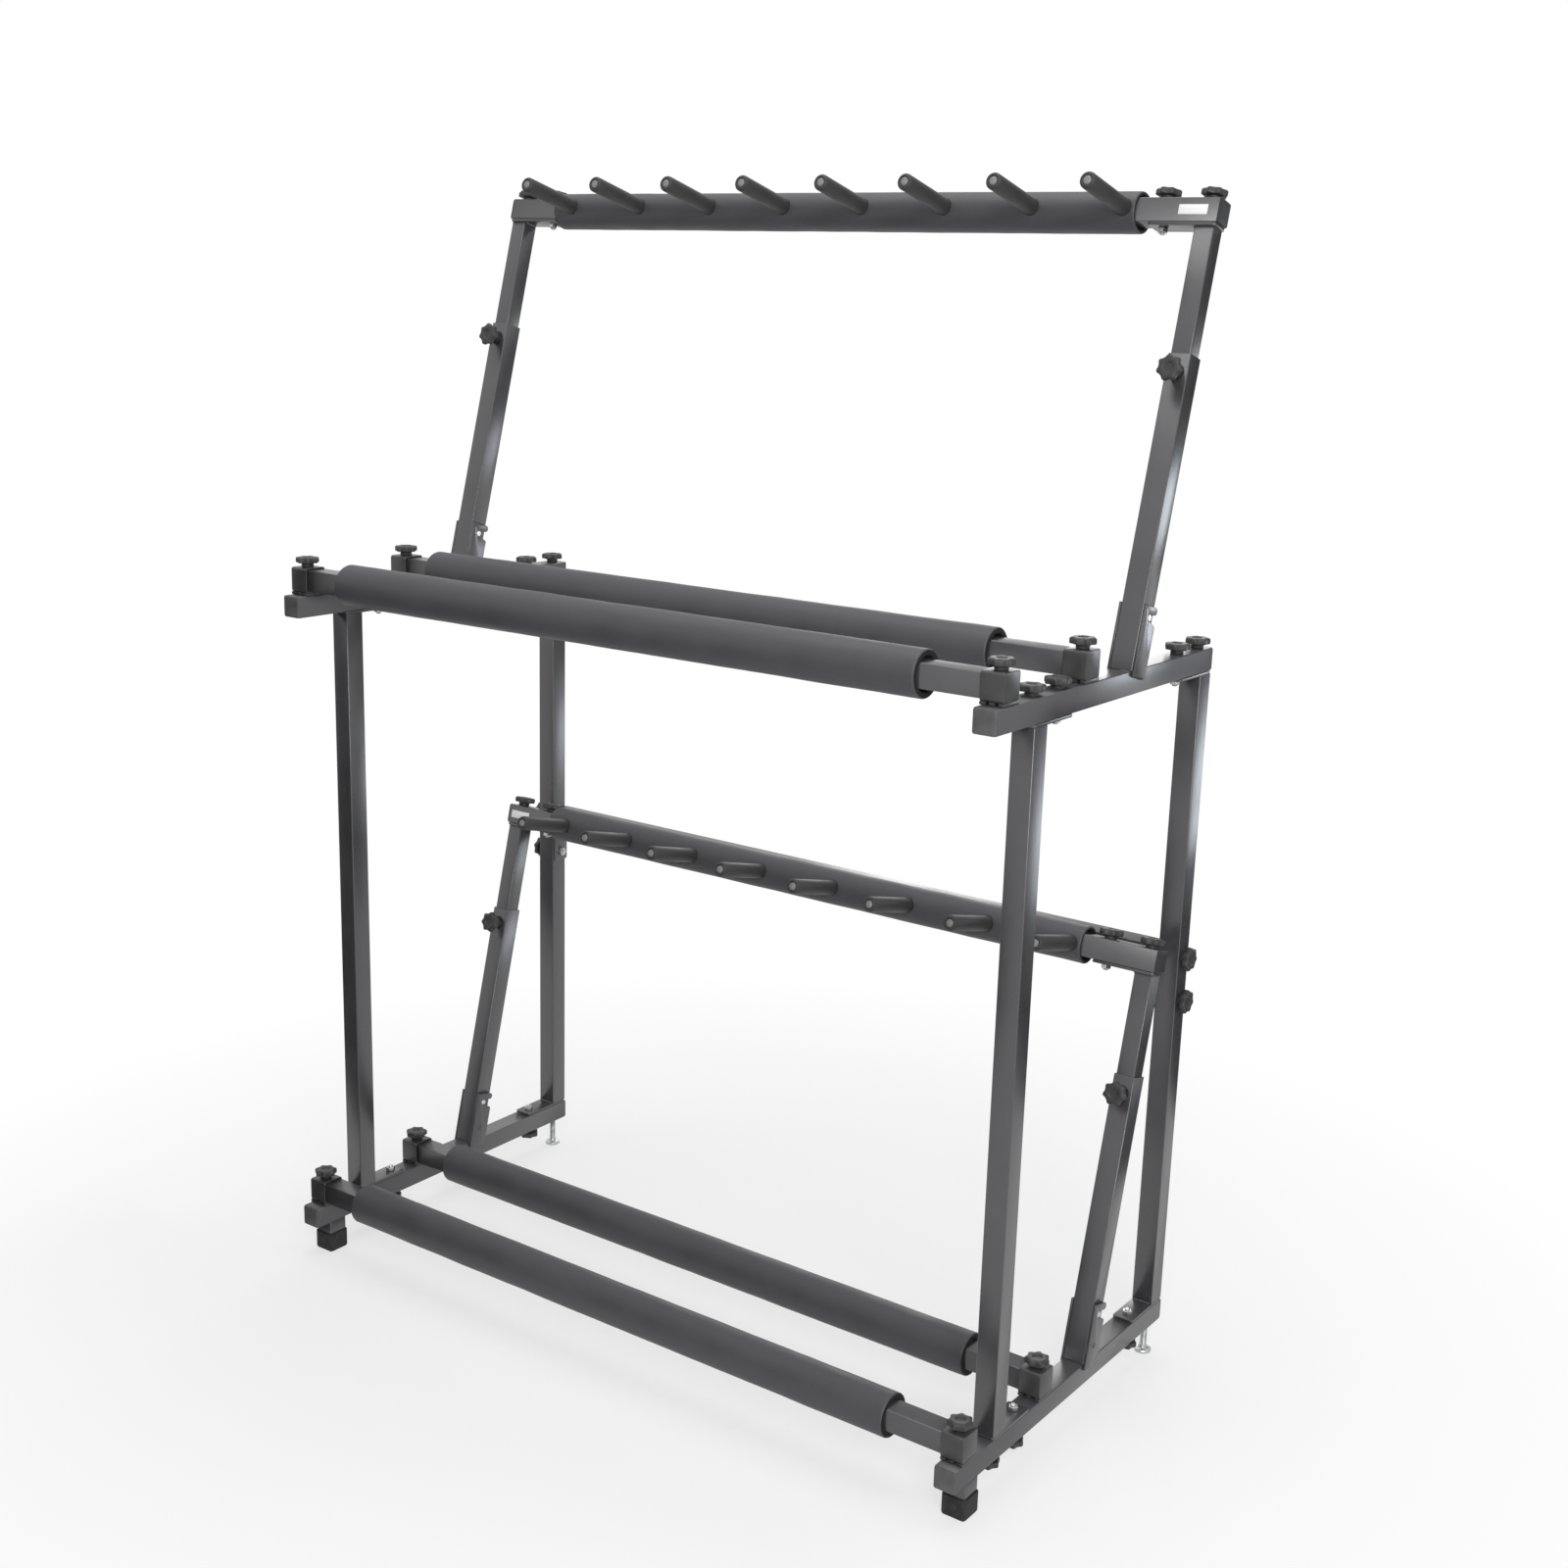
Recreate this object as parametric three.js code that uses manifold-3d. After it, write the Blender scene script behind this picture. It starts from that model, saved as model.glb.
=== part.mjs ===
// Two tier display stand for rackets, built from square steel tube.
// Millimetres. +X runs along the rails to the right, +Y to the back, +Z up.
// The origin is on the floor, in the middle of the footprint.
// Heads stand between two foam sleeved rails on each tier, and handles lean between the pegs
// of a hook rail that two telescopic arms carry.

import * as THREE from "three";
import { mergeVertices } from "three/addons/utils/BufferGeometryUtils.js";
import Module from "manifold-3d";

const wasm = await Module();
wasm.setup();

// Frame
const frameWidth = 960; // outer face to outer face of the side tubes
const sideTubeLength = 460;
const tierPitch = 774; // underside of a lower side tube to underside of an upper one
const footHeight = 40; // floor to the lower side tubes
const tubeSize = 25;
const tubeWall = 1.5;
const tubeCorner = 1.2; // outer radius of the tube's corners
const cornerSteps = 1;
const seatGap = 0.3; // between separate pieces that touch
const weldSink = 0.2; // how far a welded piece sinks into its carrier
const cutOverrun = 1; // how far a cut runs past the face it opens

// Posts and rear crossbar
const postSetback = 72; // front end of the side tubes to the front face of the front posts
const flangeThickness = 3;
const boltSpacing = 50; // between the two bolts of a welded end flange
const crossbarRise = 424.5; // top of the lower side tubes to the middle of the rear crossbar

// Bolts and nuts
const boltRadius = 3;
const boltSides = 8;
const nutRadius = 5.75;
const nutHeight = 5;
const nutSides = 6;
const boltTip = 2; // thread that shows past a nut

// Lobed hand knobs
const knobRadius = 13.75;
const knobLobes = 6;
const knobGroove = 2; // depth of the grooves between the lobes
const knobHeadHeight = 6.5;
const knobNeckRadius = 6.75;
const knobNeckHeight = 4.5;

// Padded rails, two on each tier
const frontRailSetback = 25; // front end of the side tubes to the middle of the front rail
const railSpacing = 157; // front rail to back rail
const capWall = 1.7;
const capLength = 26;
const capFootHeight = 3;
const capFootWidth = 6;
const capFeet = 3;
const railFoamRadius = 24.2;
const foamSides = 24;
const railFoamInset = 88; // bare rail at each end
const railFoamShift = -4; // from the middle of the rail, to the right
const upperBackFoamShift = -20;

// Leaning arms
const upperLeanDegrees = 15;
const hookClearance = 25.7; // foam of the lower hook rail to the rear crossbar
const armSetback = 280; // front end of the side tubes to the arm's middle, at the tube's top
const armTopRise = 319; // top of an outer arm above the side tube, along the arm
const armPlugTop = 20; // the plug in an arm's foot, along the arm
const footSides = 24; // sides of the round that the back of an arm's foot is cut to
const armWall = 1.5;
const pivotRise = 18; // the fold pivot, along the arm
const pivotRadius = 4;
const lockPinRise = 53; // the pin that the bracket's notch takes, along the arm
const lockPinRadius = 3.5;
const pinSides = 8;
const clampDrop = 19; // top of the outer arm to the clamp knob
const clampBossRadius = 8;
const clampBossHeight = 9;
const clampBossSides = 8;
const innerArmLength = 259;

// Brackets, two plates welded to each side tube
const bracketThickness = 2.5;
const bracketRise = 65; // top edge, along the arm
const bracketDrop = 8; // how far a plate reaches down the side tube
const bracketLip = 2.5; // how far a plate stands behind the arm
const notchSteps = 4;
const weldPadReach = 8; // half the length of the weld between a plate and its side tube
const weldPadTopShare = 0.25; // of the bracket's drop
const weldPadFootShare = 0.6;

// Hook rails
const upperHookRise = 477; // top face of the upper hook rail, along the arm
const lowerHookRise = 461;
const hookFoamRadius = 21.6;
const hookFoamInset = 83;
const hookFoamShift = -5; // the foam sits a little to the left
const pegCount = 8;
const outerPegInset = 104; // mean distance from the ends of the hook rail to the outermost pegs
const pegShift = 3; // the row of pegs sits a little to the right
const pegReach = 106; // middle of the hook rail to the end of a peg
const pegSleeveRadius = 9;
const pegTipRadius = 6.5;
const pegTipLength = 3;
const pegSides = 10;

// Feet
const stubSetback = 32; // front end of a lower side tube to the middle of the front foot
const stubLength = 32;
const rubberFootHeight = 24;
const rubberFootWall = 2.2;
const levellingStemRadius = 4;
const levellingDiscRadius = 10;
const levellingDiscHeight = 5;
const levellingTravel = 12; // spare stem above the flange
const levellingDiscSides = 12;

// Places that follow from the sizes
const sideX = frameWidth / 2 - tubeSize / 2;
const frontY = -sideTubeLength / 2;
const frontPostY = postSetback + tubeSize / 2; // from the front end of the side tubes
const rearPostY = sideTubeLength - tubeSize / 2;
const postLength = tierPitch - tubeSize - 2 * seatGap;
const postBottomZ = footHeight + tubeSize + seatGap;
const flangeLength = tubeSize + boltSpacing;
const boltHoleRadius = (boltRadius + seatGap) / Math.cos(Math.PI / boltSides);
const stemHoleRadius = (levellingStemRadius + seatGap) / Math.cos(Math.PI / boltSides);
const stubSize = tubeSize - 2 * (seatGap + weldSink);
const armSize = tubeSize;
const armBore = armSize - 2 * armWall;
const innerArmSize = armBore - 2 * seatGap;
const clampRise = armTopRise - clampDrop;
const plateX = tubeSize / 2 + seatGap; // inner face of a bracket plate
const pinHalfLength = plateX + bracketThickness;
const upperLean = THREE.MathUtils.degToRad(upperLeanDegrees);
const lowerHookSetback = sideTubeLength - tubeSize - hookClearance - hookFoamRadius;
const lowerLean = Math.asin((lowerHookSetback - armSetback) / (lowerHookRise - tubeSize / 2));
const capSize = tubeSize + 2 * (seatGap + capWall);
const railFoamLength = frameWidth - 2 * railFoamInset;
const hookFoamLength = frameWidth - 2 * hookFoamInset;
const pegSpacing = (frameWidth - 2 * outerPegInset) / (pegCount - 1);
const railMiddleZ = tubeSize + seatGap + capFootHeight + capSize / 2; // from the side tube's underside
const foamBoreRadius = Math.hypot(tubeSize / 2 - tubeCorner, tubeSize / 2 - tubeCorner) + tubeCorner + seatGap;

// A closed three.js geometry as a solid that can be joined and cut.
function toSolid(geometry, matrix = new THREE.Matrix4()) {
  const placed = geometry.clone().applyMatrix4(matrix);
  placed.deleteAttribute("normal");
  placed.deleteAttribute("uv");
  const merged = mergeVertices(placed);
  const vertProperties = new Float32Array(merged.attributes.position.array);
  const triVerts = new Uint32Array(merged.index.array);
  return new wasm.Manifold(new wasm.Mesh({ numProp: 3, vertProperties, triVerts }));
}

// A joined or cut solid as a three.js geometry with flat faces.
function toGeometry(solid) {
  const { vertProperties, triVerts } = solid.getMesh();
  const indexed = new THREE.BufferGeometry();
  indexed.setAttribute("position", new THREE.BufferAttribute(new Float32Array(vertProperties), 3));
  indexed.setIndex(new THREE.BufferAttribute(new Uint32Array(triVerts), 1));
  const flat = indexed.toNonIndexed();
  flat.computeVertexNormals();
  return flat;
}

function shifted(x, y, z) {
  return new THREE.Matrix4().makeTranslation(x, y, z);
}

// A matrix that turns +Z to the given direction and moves the origin to a place.
function aimed(direction, x, y, z) {
  const turn = new THREE.Quaternion().setFromUnitVectors(new THREE.Vector3(0, 0, 1), direction);
  return new THREE.Matrix4().makeRotationFromQuaternion(turn).setPosition(x, y, z);
}

const rightward = new THREE.Vector3(1, 0, 0);
const leftward = new THREE.Vector3(-1, 0, 0);
const backward = new THREE.Vector3(0, 1, 0);
const forward = new THREE.Vector3(0, -1, 0);
const upward = new THREE.Vector3(0, 0, 1);
const downward = new THREE.Vector3(0, 0, -1);

function block(x0, x1, y0, y1, z0, z1) {
  const box = new THREE.BoxGeometry(x1 - x0, y1 - y0, z1 - z0);
  return toSolid(box, shifted((x0 + x1) / 2, (y0 + y1) / 2, (z0 + z1) / 2));
}

// A many sided bar along +Z, between two heights, then placed by a matrix.
function bar(radius, sides, from, to, matrix = new THREE.Matrix4()) {
  const cylinder = new THREE.CylinderGeometry(radius, radius, to - from, sides);
  cylinder.rotateX(Math.PI / 2);
  cylinder.translate(0, 0, (from + to) / 2);
  return toSolid(cylinder, matrix);
}

function roundedSquare(size, corner) {
  const reach = size / 2 - corner;
  const outline = new THREE.Shape();
  outline.absarc(reach, reach, corner, 0, Math.PI / 2);
  outline.absarc(-reach, reach, corner, Math.PI / 2, Math.PI);
  outline.absarc(-reach, -reach, corner, Math.PI, 1.5 * Math.PI);
  outline.absarc(reach, -reach, corner, 1.5 * Math.PI, 2 * Math.PI);
  outline.closePath();
  return outline;
}

function squareHole(size) {
  const half = size / 2;
  const hole = new THREE.Path();
  hole.moveTo(-half, -half);
  hole.lineTo(-half, half);
  hole.lineTo(half, half);
  hole.lineTo(half, -half);
  hole.closePath();
  return hole;
}

// A square tube along +Z from 0, then placed by a matrix.
function squareTube(length, size, wall, corner, matrix) {
  const outline = roundedSquare(size, corner);
  outline.holes.push(squareHole(size - 2 * wall));
  const drawing = { depth: length, bevelEnabled: false, curveSegments: cornerSteps };
  const tube = new THREE.ExtrudeGeometry(outline, drawing);
  return toSolid(tube, matrix);
}

// A hand knob with its bolt: it sits on z = 0, and the bolt goes down.
function knob(boltLength, matrix = new THREE.Matrix4()) {
  const outline = new THREE.Shape();
  for (let corner = 0; corner < 2 * knobLobes; corner++) {
    const angle = (corner * Math.PI) / knobLobes;
    const radius = corner % 2 ? knobRadius - knobGroove : knobRadius;
    const x = radius * Math.cos(angle);
    const y = radius * Math.sin(angle);
    if (corner) outline.lineTo(x, y);
    else outline.moveTo(x, y);
  }
  outline.closePath();
  const head = new THREE.ExtrudeGeometry(outline, { depth: knobHeadHeight, bevelEnabled: false });
  head.translate(0, 0, knobNeckHeight);
  return toSolid(head, matrix)
    .add(bar(knobNeckRadius, boltSides, 0, knobNeckHeight + weldSink, matrix))
    .add(bar(boltRadius, boltSides, -boltLength, weldSink, matrix));
}

// A hole for a bolt along an axis, from one place along it to another.
function boltHole(from, to, matrix, radius = boltHoleRadius) {
  return bar(radius, boltSides, from - cutOverrun, to + cutOverrun, matrix);
}

function nut(matrix) {
  return bar(nutRadius, nutSides, -weldSink, nutHeight, matrix);
}

// Plain materials
function paintedSteel() {
  return new THREE.MeshStandardMaterial({ color: 0x2b2b2d, roughness: 0.45, metalness: 0.3 });
}

function blackPlastic() {
  return new THREE.MeshStandardMaterial({ color: 0x1c1c1e, roughness: 0.6, metalness: 0 });
}

function greyFoam() {
  return new THREE.MeshStandardMaterial({ color: 0x3f3d3d, roughness: 0.95, metalness: 0 });
}

function blackRubber() {
  return new THREE.MeshStandardMaterial({ color: 0x161616, roughness: 0.8, metalness: 0 });
}

function platedSteel() {
  return new THREE.MeshStandardMaterial({ color: 0xb9bbbd, roughness: 0.3, metalness: 1 });
}

function addPiece(parent, name, solid, material, x = 0, y = 0, z = 0) {
  const mesh = new THREE.Mesh(toGeometry(solid), material);
  mesh.name = name;
  mesh.position.set(x, y, z);
  parent.add(mesh);
}

// A side tube from y = 0 at its front end, with its underside on z = 0.
// It carries a pair of arm bracket plates, and the hand knobs whose bolts run through it.
function sideTube(upper, lean) {
  let tube = squareTube(sideTubeLength, tubeSize, tubeWall, tubeCorner, aimed(backward, 0, 0, tubeSize / 2));
  for (const side of [-1, 1]) {
    tube = tube.add(bracketPlate(side > 0 ? plateX : -pinHalfLength, lean));
    const padX = side * (tubeSize / 2 + seatGap / 2);
    const padHalf = seatGap / 2 + weldSink;
    const padFoot = tubeSize - weldPadFootShare * bracketDrop;
    const padTop = tubeSize - weldPadTopShare * bracketDrop;
    tube = tube.add(block(
      padX - padHalf, padX + padHalf, armSetback - weldPadReach, armSetback + weldPadReach, padFoot, padTop));
  }
  const reach = tubeSize + seatGap + flangeThickness + nutHeight + boltTip;
  if (upper) {
    for (const y of [frontPostY, frontPostY + boltSpacing, rearPostY - boltSpacing, rearPostY])
      tube = tube.add(knob(reach, shifted(0, y, tubeSize - weldSink)));
  } else {
    for (const y of [frontPostY, frontPostY + boltSpacing, rearPostY - boltSpacing])
      tube = tube.add(knob(reach, aimed(downward, 0, y, weldSink)));
    tube = tube.subtract(boltHole(0, tubeSize, shifted(0, rearPostY, 0), stemHoleRadius));
    const stubTop = aimed(downward, 0, stubSetback, tubeWall - weldSink);
    tube = tube.add(squareTube(stubLength + tubeWall - weldSink, stubSize, tubeWall, tubeCorner, stubTop));
  }
  for (const y of [frontRailSetback, frontRailSetback + railSpacing])
    tube = tube.subtract(boltHole(tubeSize - tubeWall, tubeSize, shifted(0, y, 0)));
  return tube;
}

// One bracket plate, drawn in the arm's own directions and leaned back with it.
// Its notch opens to the back, and its lower edge follows the lock pin's swing.
function bracketPlate(x, lean) {
  const front = -armSize / 2;
  const back = armSize / 2 + bracketLip;
  const endRadius = (lockPinRadius + seatGap) / Math.cos(Math.PI / 2 / notchSteps);
  const swingRadius = lockPinRise - pivotRise - endRadius;
  const swingEnd = Math.asin(back / swingRadius);
  const outline = new THREE.Shape();
  outline.moveTo(front, -bracketDrop);
  outline.lineTo(back, -bracketDrop);
  for (let step = 0; step <= notchSteps; step++) {
    const angle = swingEnd * (1 - step / notchSteps);
    outline.lineTo(swingRadius * Math.sin(angle), pivotRise + swingRadius * Math.cos(angle));
  }
  for (let step = 1; step <= notchSteps; step++) {
    const angle = 1.5 * Math.PI - (step * Math.PI) / notchSteps;
    outline.lineTo(endRadius * Math.cos(angle), lockPinRise + endRadius * Math.sin(angle));
  }
  outline.lineTo(back, lockPinRise + endRadius);
  outline.lineTo(back, bracketRise - bracketLip);
  outline.lineTo(back - bracketLip, bracketRise);
  outline.lineTo(front, bracketRise);
  outline.closePath();
  const plate = new THREE.ExtrudeGeometry(outline, { depth: bracketThickness, bevelEnabled: false });
  const sideways = new THREE.Matrix4().makeBasis(backward, upward, rightward).setPosition(x, 0, 0);
  const leaned = new THREE.Matrix4().makeRotationX(-lean).setPosition(0, armSetback, tubeSize);
  const pivotHoleRadius = (pivotRadius + seatGap) / Math.cos(Math.PI / pinSides);
  const through = aimed(rightward, x, 0, pivotRise);
  const hole = bar(pivotHoleRadius, pinSides, -cutOverrun, bracketThickness + cutOverrun, through);
  return toSolid(plate, sideways).subtract(hole).transform(leaned.elements);
}

// A post from z = 0, with an end flange at the foot and one at the head.
// flangeSide is 1 on a front post, whose flanges reach to the back, and -1 on a rear post.
function post(flangeSide) {
  let solid = squareTube(postLength, tubeSize, tubeWall, tubeCorner, shifted(0, 0, 0));
  const near = (-flangeSide * tubeSize) / 2;
  const far = near + flangeSide * flangeLength;
  const y0 = Math.min(near, far);
  const y1 = Math.max(near, far);
  for (const z of [0, postLength - flangeThickness])
    solid = solid.add(block(-tubeSize / 2, tubeSize / 2, y0, y1, z, z + flangeThickness));
  const boltY = flangeSide * boltSpacing;
  solid = solid.add(nut(shifted(0, boltY, flangeThickness)));
  solid = solid.add(nut(aimed(downward, 0, boltY, postLength - flangeThickness)));
  const nutEnd = flangeThickness + nutHeight;
  for (const z of [0, postLength - nutEnd])
    solid = solid.subtract(boltHole(z, z + nutEnd, shifted(0, boltY, 0)));
  const footHoleRadius = flangeSide > 0 ? boltHoleRadius : stemHoleRadius;
  solid = solid.subtract(boltHole(0, flangeThickness, shifted(0, 0, 0), footHoleRadius));
  return solid.subtract(boltHole(postLength - flangeThickness, postLength, shifted(0, 0, 0)));
}

// A rear post also carries the two hand knobs that hold the crossbar, on its outer face.
function rearPost(outward) {
  const direction = outward > 0 ? rightward : leftward;
  const middle = crossbarRise - seatGap;
  const reach = tubeSize + seatGap + flangeThickness + nutHeight + boltTip;
  let solid = post(-1);
  for (const z of [middle, middle - boltSpacing])
    solid = solid.add(knob(reach, aimed(direction, outward * (tubeSize / 2 - weldSink), 0, z)));
  return solid;
}

// The rear crossbar, with its middle at the origin.
function crossbar() {
  const half = sideX - tubeSize / 2 - seatGap;
  let solid = squareTube(2 * half, tubeSize, tubeWall, tubeCorner, aimed(rightward, -half, 0, 0));
  for (const side of [-1, 1]) {
    const inward = side > 0 ? leftward : rightward;
    const inner = side * (half - flangeThickness);
    const x0 = Math.min(side * half, inner);
    const x1 = Math.max(side * half, inner);
    solid = solid.add(block(x0, x1, -tubeSize / 2, tubeSize / 2, tubeSize / 2 - flangeLength, tubeSize / 2));
    solid = solid.add(nut(aimed(inward, inner, 0, -boltSpacing)));
    const low = aimed(inward, side * half, 0, -boltSpacing);
    solid = solid.subtract(boltHole(0, flangeThickness + nutHeight, low));
    solid = solid.subtract(boltHole(0, flangeThickness, aimed(inward, side * half, 0, 0)));
  }
  return solid;
}

// A padded rail along X, with its middle at the origin.
function rail() {
  const half = frameWidth / 2 - capWall - seatGap;
  let solid = squareTube(2 * half, tubeSize, tubeWall, tubeCorner, aimed(rightward, -half, 0, 0));
  for (const side of [-1, 1])
    solid = solid.subtract(boltHole(-tubeSize / 2, tubeSize / 2, shifted(side * sideX, 0, 0)));
  return solid;
}

// A moulded cap over a rail's end, standing on the side tube on short feet.
// Its middle is at the origin, and its closed end faces outward.
function railCap(outward) {
  const half = capSize / 2;
  const inside = tubeSize / 2 + seatGap;
  const end = outward * tubeSize * 0.5;
  const mouth = end - outward * capLength;
  let solid = block(Math.min(end, mouth), Math.max(end, mouth), -half, half, -half, half);
  const pocketEnd = end - outward * capWall;
  const pocketMouth = mouth - outward * cutOverrun;
  const pocket = block(
    Math.min(pocketEnd, pocketMouth), Math.max(pocketEnd, pocketMouth), -inside, inside, -inside, inside);
  solid = solid.subtract(pocket);
  const pitch = (capLength - capFootWidth) / (capFeet - 1);
  for (let foot = 0; foot < capFeet; foot++) {
    const x = Math.min(end, mouth) + foot * pitch;
    solid = solid.add(block(x, x + capFootWidth, -half, half, -half - capFootHeight, weldSink - half));
  }
  return solid.subtract(boltHole(-half - capFootHeight, half, shifted(0, 0, 0)));
}

// A foam sleeve along X, with its middle at the origin.
function foamSleeve(radius, length) {
  const boreRadius = foamBoreRadius / Math.cos(Math.PI / foamSides);
  const along = aimed(rightward, 0, 0, 0);
  return bar(radius, foamSides, -length / 2, length / 2, along).subtract(
    bar(boreRadius, foamSides, -length / 2 - cutOverrun, length / 2 + cutOverrun, along));
}

// The room for an arm's foot above its side tube, in the directions of the arm.
// In front it reaches down to the tube, and at the back it stays round, so that the arm can fold back.
function footRoom(lean) {
  const radius = pivotRise * Math.cos(lean) - seatGap;
  const level = new THREE.Matrix4().makeRotationX(lean).setPosition(0, 0, pivotRise);
  const front = block(-armSize, armSize, -armSize, 0, -radius, 0).transform(level.elements);
  return bar(radius, footSides, -armSize, armSize, aimed(rightward, 0, 0, pivotRise))
    .add(front)
    .add(block(-armSize, armSize, -armSize, armSize, pivotRise, armTopRise));
}

// An outer arm along +Z from the top of its side tube. Its front is towards -Y.
function outerArm(lean) {
  const start = -armSize / 2; // below the foot's cut
  const plugHalf = armBore / 2 + weldSink;
  let solid = squareTube(armTopRise - start, armSize, armWall, tubeCorner, shifted(0, 0, start))
    .add(block(-plugHalf, plugHalf, -plugHalf, plugHalf, start, armPlugTop))
    .intersect(footRoom(lean));
  const holeRadius = (pivotRadius + seatGap) / Math.cos(Math.PI / pinSides);
  solid = solid.subtract(bar(holeRadius, pinSides, -armSize, armSize, aimed(rightward, 0, 0, pivotRise)));
  const lockPlace = aimed(rightward, 0, 0, lockPinRise);
  solid = solid.add(bar(lockPinRadius, pinSides, -pinHalfLength, pinHalfLength, lockPlace));
  const face = aimed(forward, 0, -armSize / 2, clampRise);
  solid = solid.add(bar(clampBossRadius, clampBossSides, -weldSink, clampBossHeight, face));
  return solid.subtract(boltHole(-armWall, clampBossHeight, face));
}

// An inner arm, whose top is at the origin, with the flange that its hook rail is bolted to.
// The flange reaches inward, towards the middle of the stand.
function innerArm(inward) {
  const top = -flangeThickness;
  let solid = squareTube(
    innerArmLength, innerArmSize, armWall, tubeCorner, shifted(0, 0, top + weldSink - innerArmLength));
  const near = (-inward * tubeSize) / 2;
  const far = near + inward * flangeLength;
  solid = solid.add(block(Math.min(near, far), Math.max(near, far), -tubeSize / 2, tubeSize / 2, top, 0));
  const boltX = inward * boltSpacing;
  solid = solid.add(nut(aimed(downward, boltX, 0, top)));
  solid = solid.subtract(boltHole(top - nutHeight, 0, shifted(boltX, 0, 0)));
  return solid.subtract(boltHole(top, 0, shifted(0, 0, 0)));
}

// A hook rail along X, with its middle at the origin: a tube with its pegs and its four hand knobs.
function hookRail() {
  let solid = squareTube(frameWidth, tubeSize, tubeWall, tubeCorner, aimed(rightward, -frameWidth / 2, 0, 0));
  for (let peg = 0; peg < pegCount; peg++) {
    const along = aimed(forward, pegX(peg), 0, 0);
    const sleeveEnd = pegReach - pegTipLength;
    solid = solid.add(bar(pegSleeveRadius, pegSides, tubeSize / 2 - weldSink, sleeveEnd, along));
    solid = solid.add(bar(pegTipRadius, pegSides, sleeveEnd - weldSink, pegReach, along));
  }
  const reach = tubeSize + seatGap + flangeThickness + nutHeight + boltTip;
  for (const side of [-1, 1])
    for (const x of [sideX, sideX - boltSpacing])
      solid = solid.add(knob(reach, shifted(side * x, 0, tubeSize / 2 - weldSink)));
  return solid;
}

function pegX(peg) {
  return pegShift + (peg - (pegCount - 1) / 2) * pegSpacing;
}

// The hook rail's foam has a round hole for each peg.
function hookFoam() {
  let solid = foamSleeve(hookFoamRadius, hookFoamLength);
  const holeRadius = (pegSleeveRadius + seatGap) / Math.cos(Math.PI / pegSides);
  for (let peg = 0; peg < pegCount; peg++) {
    const along = aimed(forward, pegX(peg) - hookFoamShift, 0, 0);
    solid = solid.subtract(bar(holeRadius, pegSides, 0, 2 * hookFoamRadius, along));
  }
  return solid;
}

// A square rubber boot on the front foot's stub. Its underside is at z = 0.
function rubberFoot() {
  const inside = stubSize / 2 + seatGap;
  const half = inside + rubberFootWall;
  const floor = footHeight - stubLength - seatGap;
  return block(-half, half, -half, half, 0, rubberFootHeight).subtract(
    block(-inside, inside, -inside, inside, floor, rubberFootHeight + cutOverrun));
}

// A levelling foot: a disc on the floor and a threaded stem through the side tube into the post.
function levellingFoot() {
  const stemTop = postBottomZ + flangeThickness + levellingTravel;
  return bar(levellingDiscRadius, levellingDiscSides, 0, levellingDiscHeight).add(
    bar(levellingStemRadius, boltSides, levellingDiscHeight - weldSink, stemTop));
}

const sides = [["left", -1], ["right", 1]];
const stand = new THREE.Group();

// The rails, foam, caps and knobs of one tier, and its side tubes
function addTier(tierName, baseZ, hookRise, lean, backFoamShift, upper) {
  const tier = new THREE.Group();
  tier.position.set(0, frontY, baseZ);
  stand.add(tier);
  for (const [sideName, side] of sides) {
    const tube = sideTube(upper, lean);
    addPiece(tier, `${tierName}_side_tube_${sideName}`, tube, paintedSteel(), side * sideX, 0, 0);
  }
  const rails = [
    ["front", frontRailSetback, railFoamShift],
    ["back", frontRailSetback + railSpacing, backFoamShift]];
  for (const [railName, y, shift] of rails) {
    const name = `${tierName}_${railName}_rail`;
    addPiece(tier, name, rail(), paintedSteel(), 0, y, railMiddleZ);
    const foam = foamSleeve(railFoamRadius, railFoamLength);
    addPiece(tier, `${name}_foam`, foam, greyFoam(), shift, y, railMiddleZ);
    for (const [sideName, side] of sides) {
      addPiece(tier, `${name}_cap_${sideName}`, railCap(side), blackPlastic(), side * sideX, y, railMiddleZ);
      const seatZ = railMiddleZ + capSize / 2 + seatGap;
      const boltLength = seatZ - tubeSize + tubeWall + boltTip;
      addPiece(tier, `${name}_knob_${sideName}`, knob(boltLength), blackPlastic(), side * sideX, y, seatZ);
    }
  }
  addArms(tier, tierName, hookRise, lean);
}

// The leaning group of one tier: arms, hook rail and clamp knobs
function addArms(tier, tierName, hookRise, lean) {
  const leaning = new THREE.Group();
  leaning.position.set(0, armSetback, tubeSize);
  leaning.rotation.x = -lean;
  tier.add(leaning);
  const flangeTop = hookRise - tubeSize - seatGap;
  const clampKnob = knob(clampBossHeight + armWall + seatGap, aimed(forward, 0, 0, 0));
  const pin = bar(pivotRadius, pinSides, -pinHalfLength, pinHalfLength, aimed(rightward, 0, 0, 0));
  for (const [sideName, side] of sides) {
    const x = side * sideX;
    addPiece(leaning, `${tierName}_arm_${sideName}`, outerArm(lean), paintedSteel(), x, 0, 0);
    addPiece(leaning, `${tierName}_inner_arm_${sideName}`, innerArm(-side), paintedSteel(), x, 0, flangeTop);
    addPiece(leaning, `${tierName}_pivot_pin_${sideName}`, pin, platedSteel(), x, 0, pivotRise);
    const clampY = -armSize / 2 - clampBossHeight - seatGap;
    addPiece(leaning, `${tierName}_clamp_knob_${sideName}`, clampKnob, blackPlastic(), x, clampY, clampRise);
  }
  const railMiddle = hookRise - tubeSize / 2;
  addPiece(leaning, `${tierName}_hook_rail`, hookRail(), paintedSteel(), 0, 0, railMiddle);
  addPiece(leaning, `${tierName}_hook_foam`, hookFoam(), greyFoam(), hookFoamShift, 0, railMiddle);
}

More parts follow.
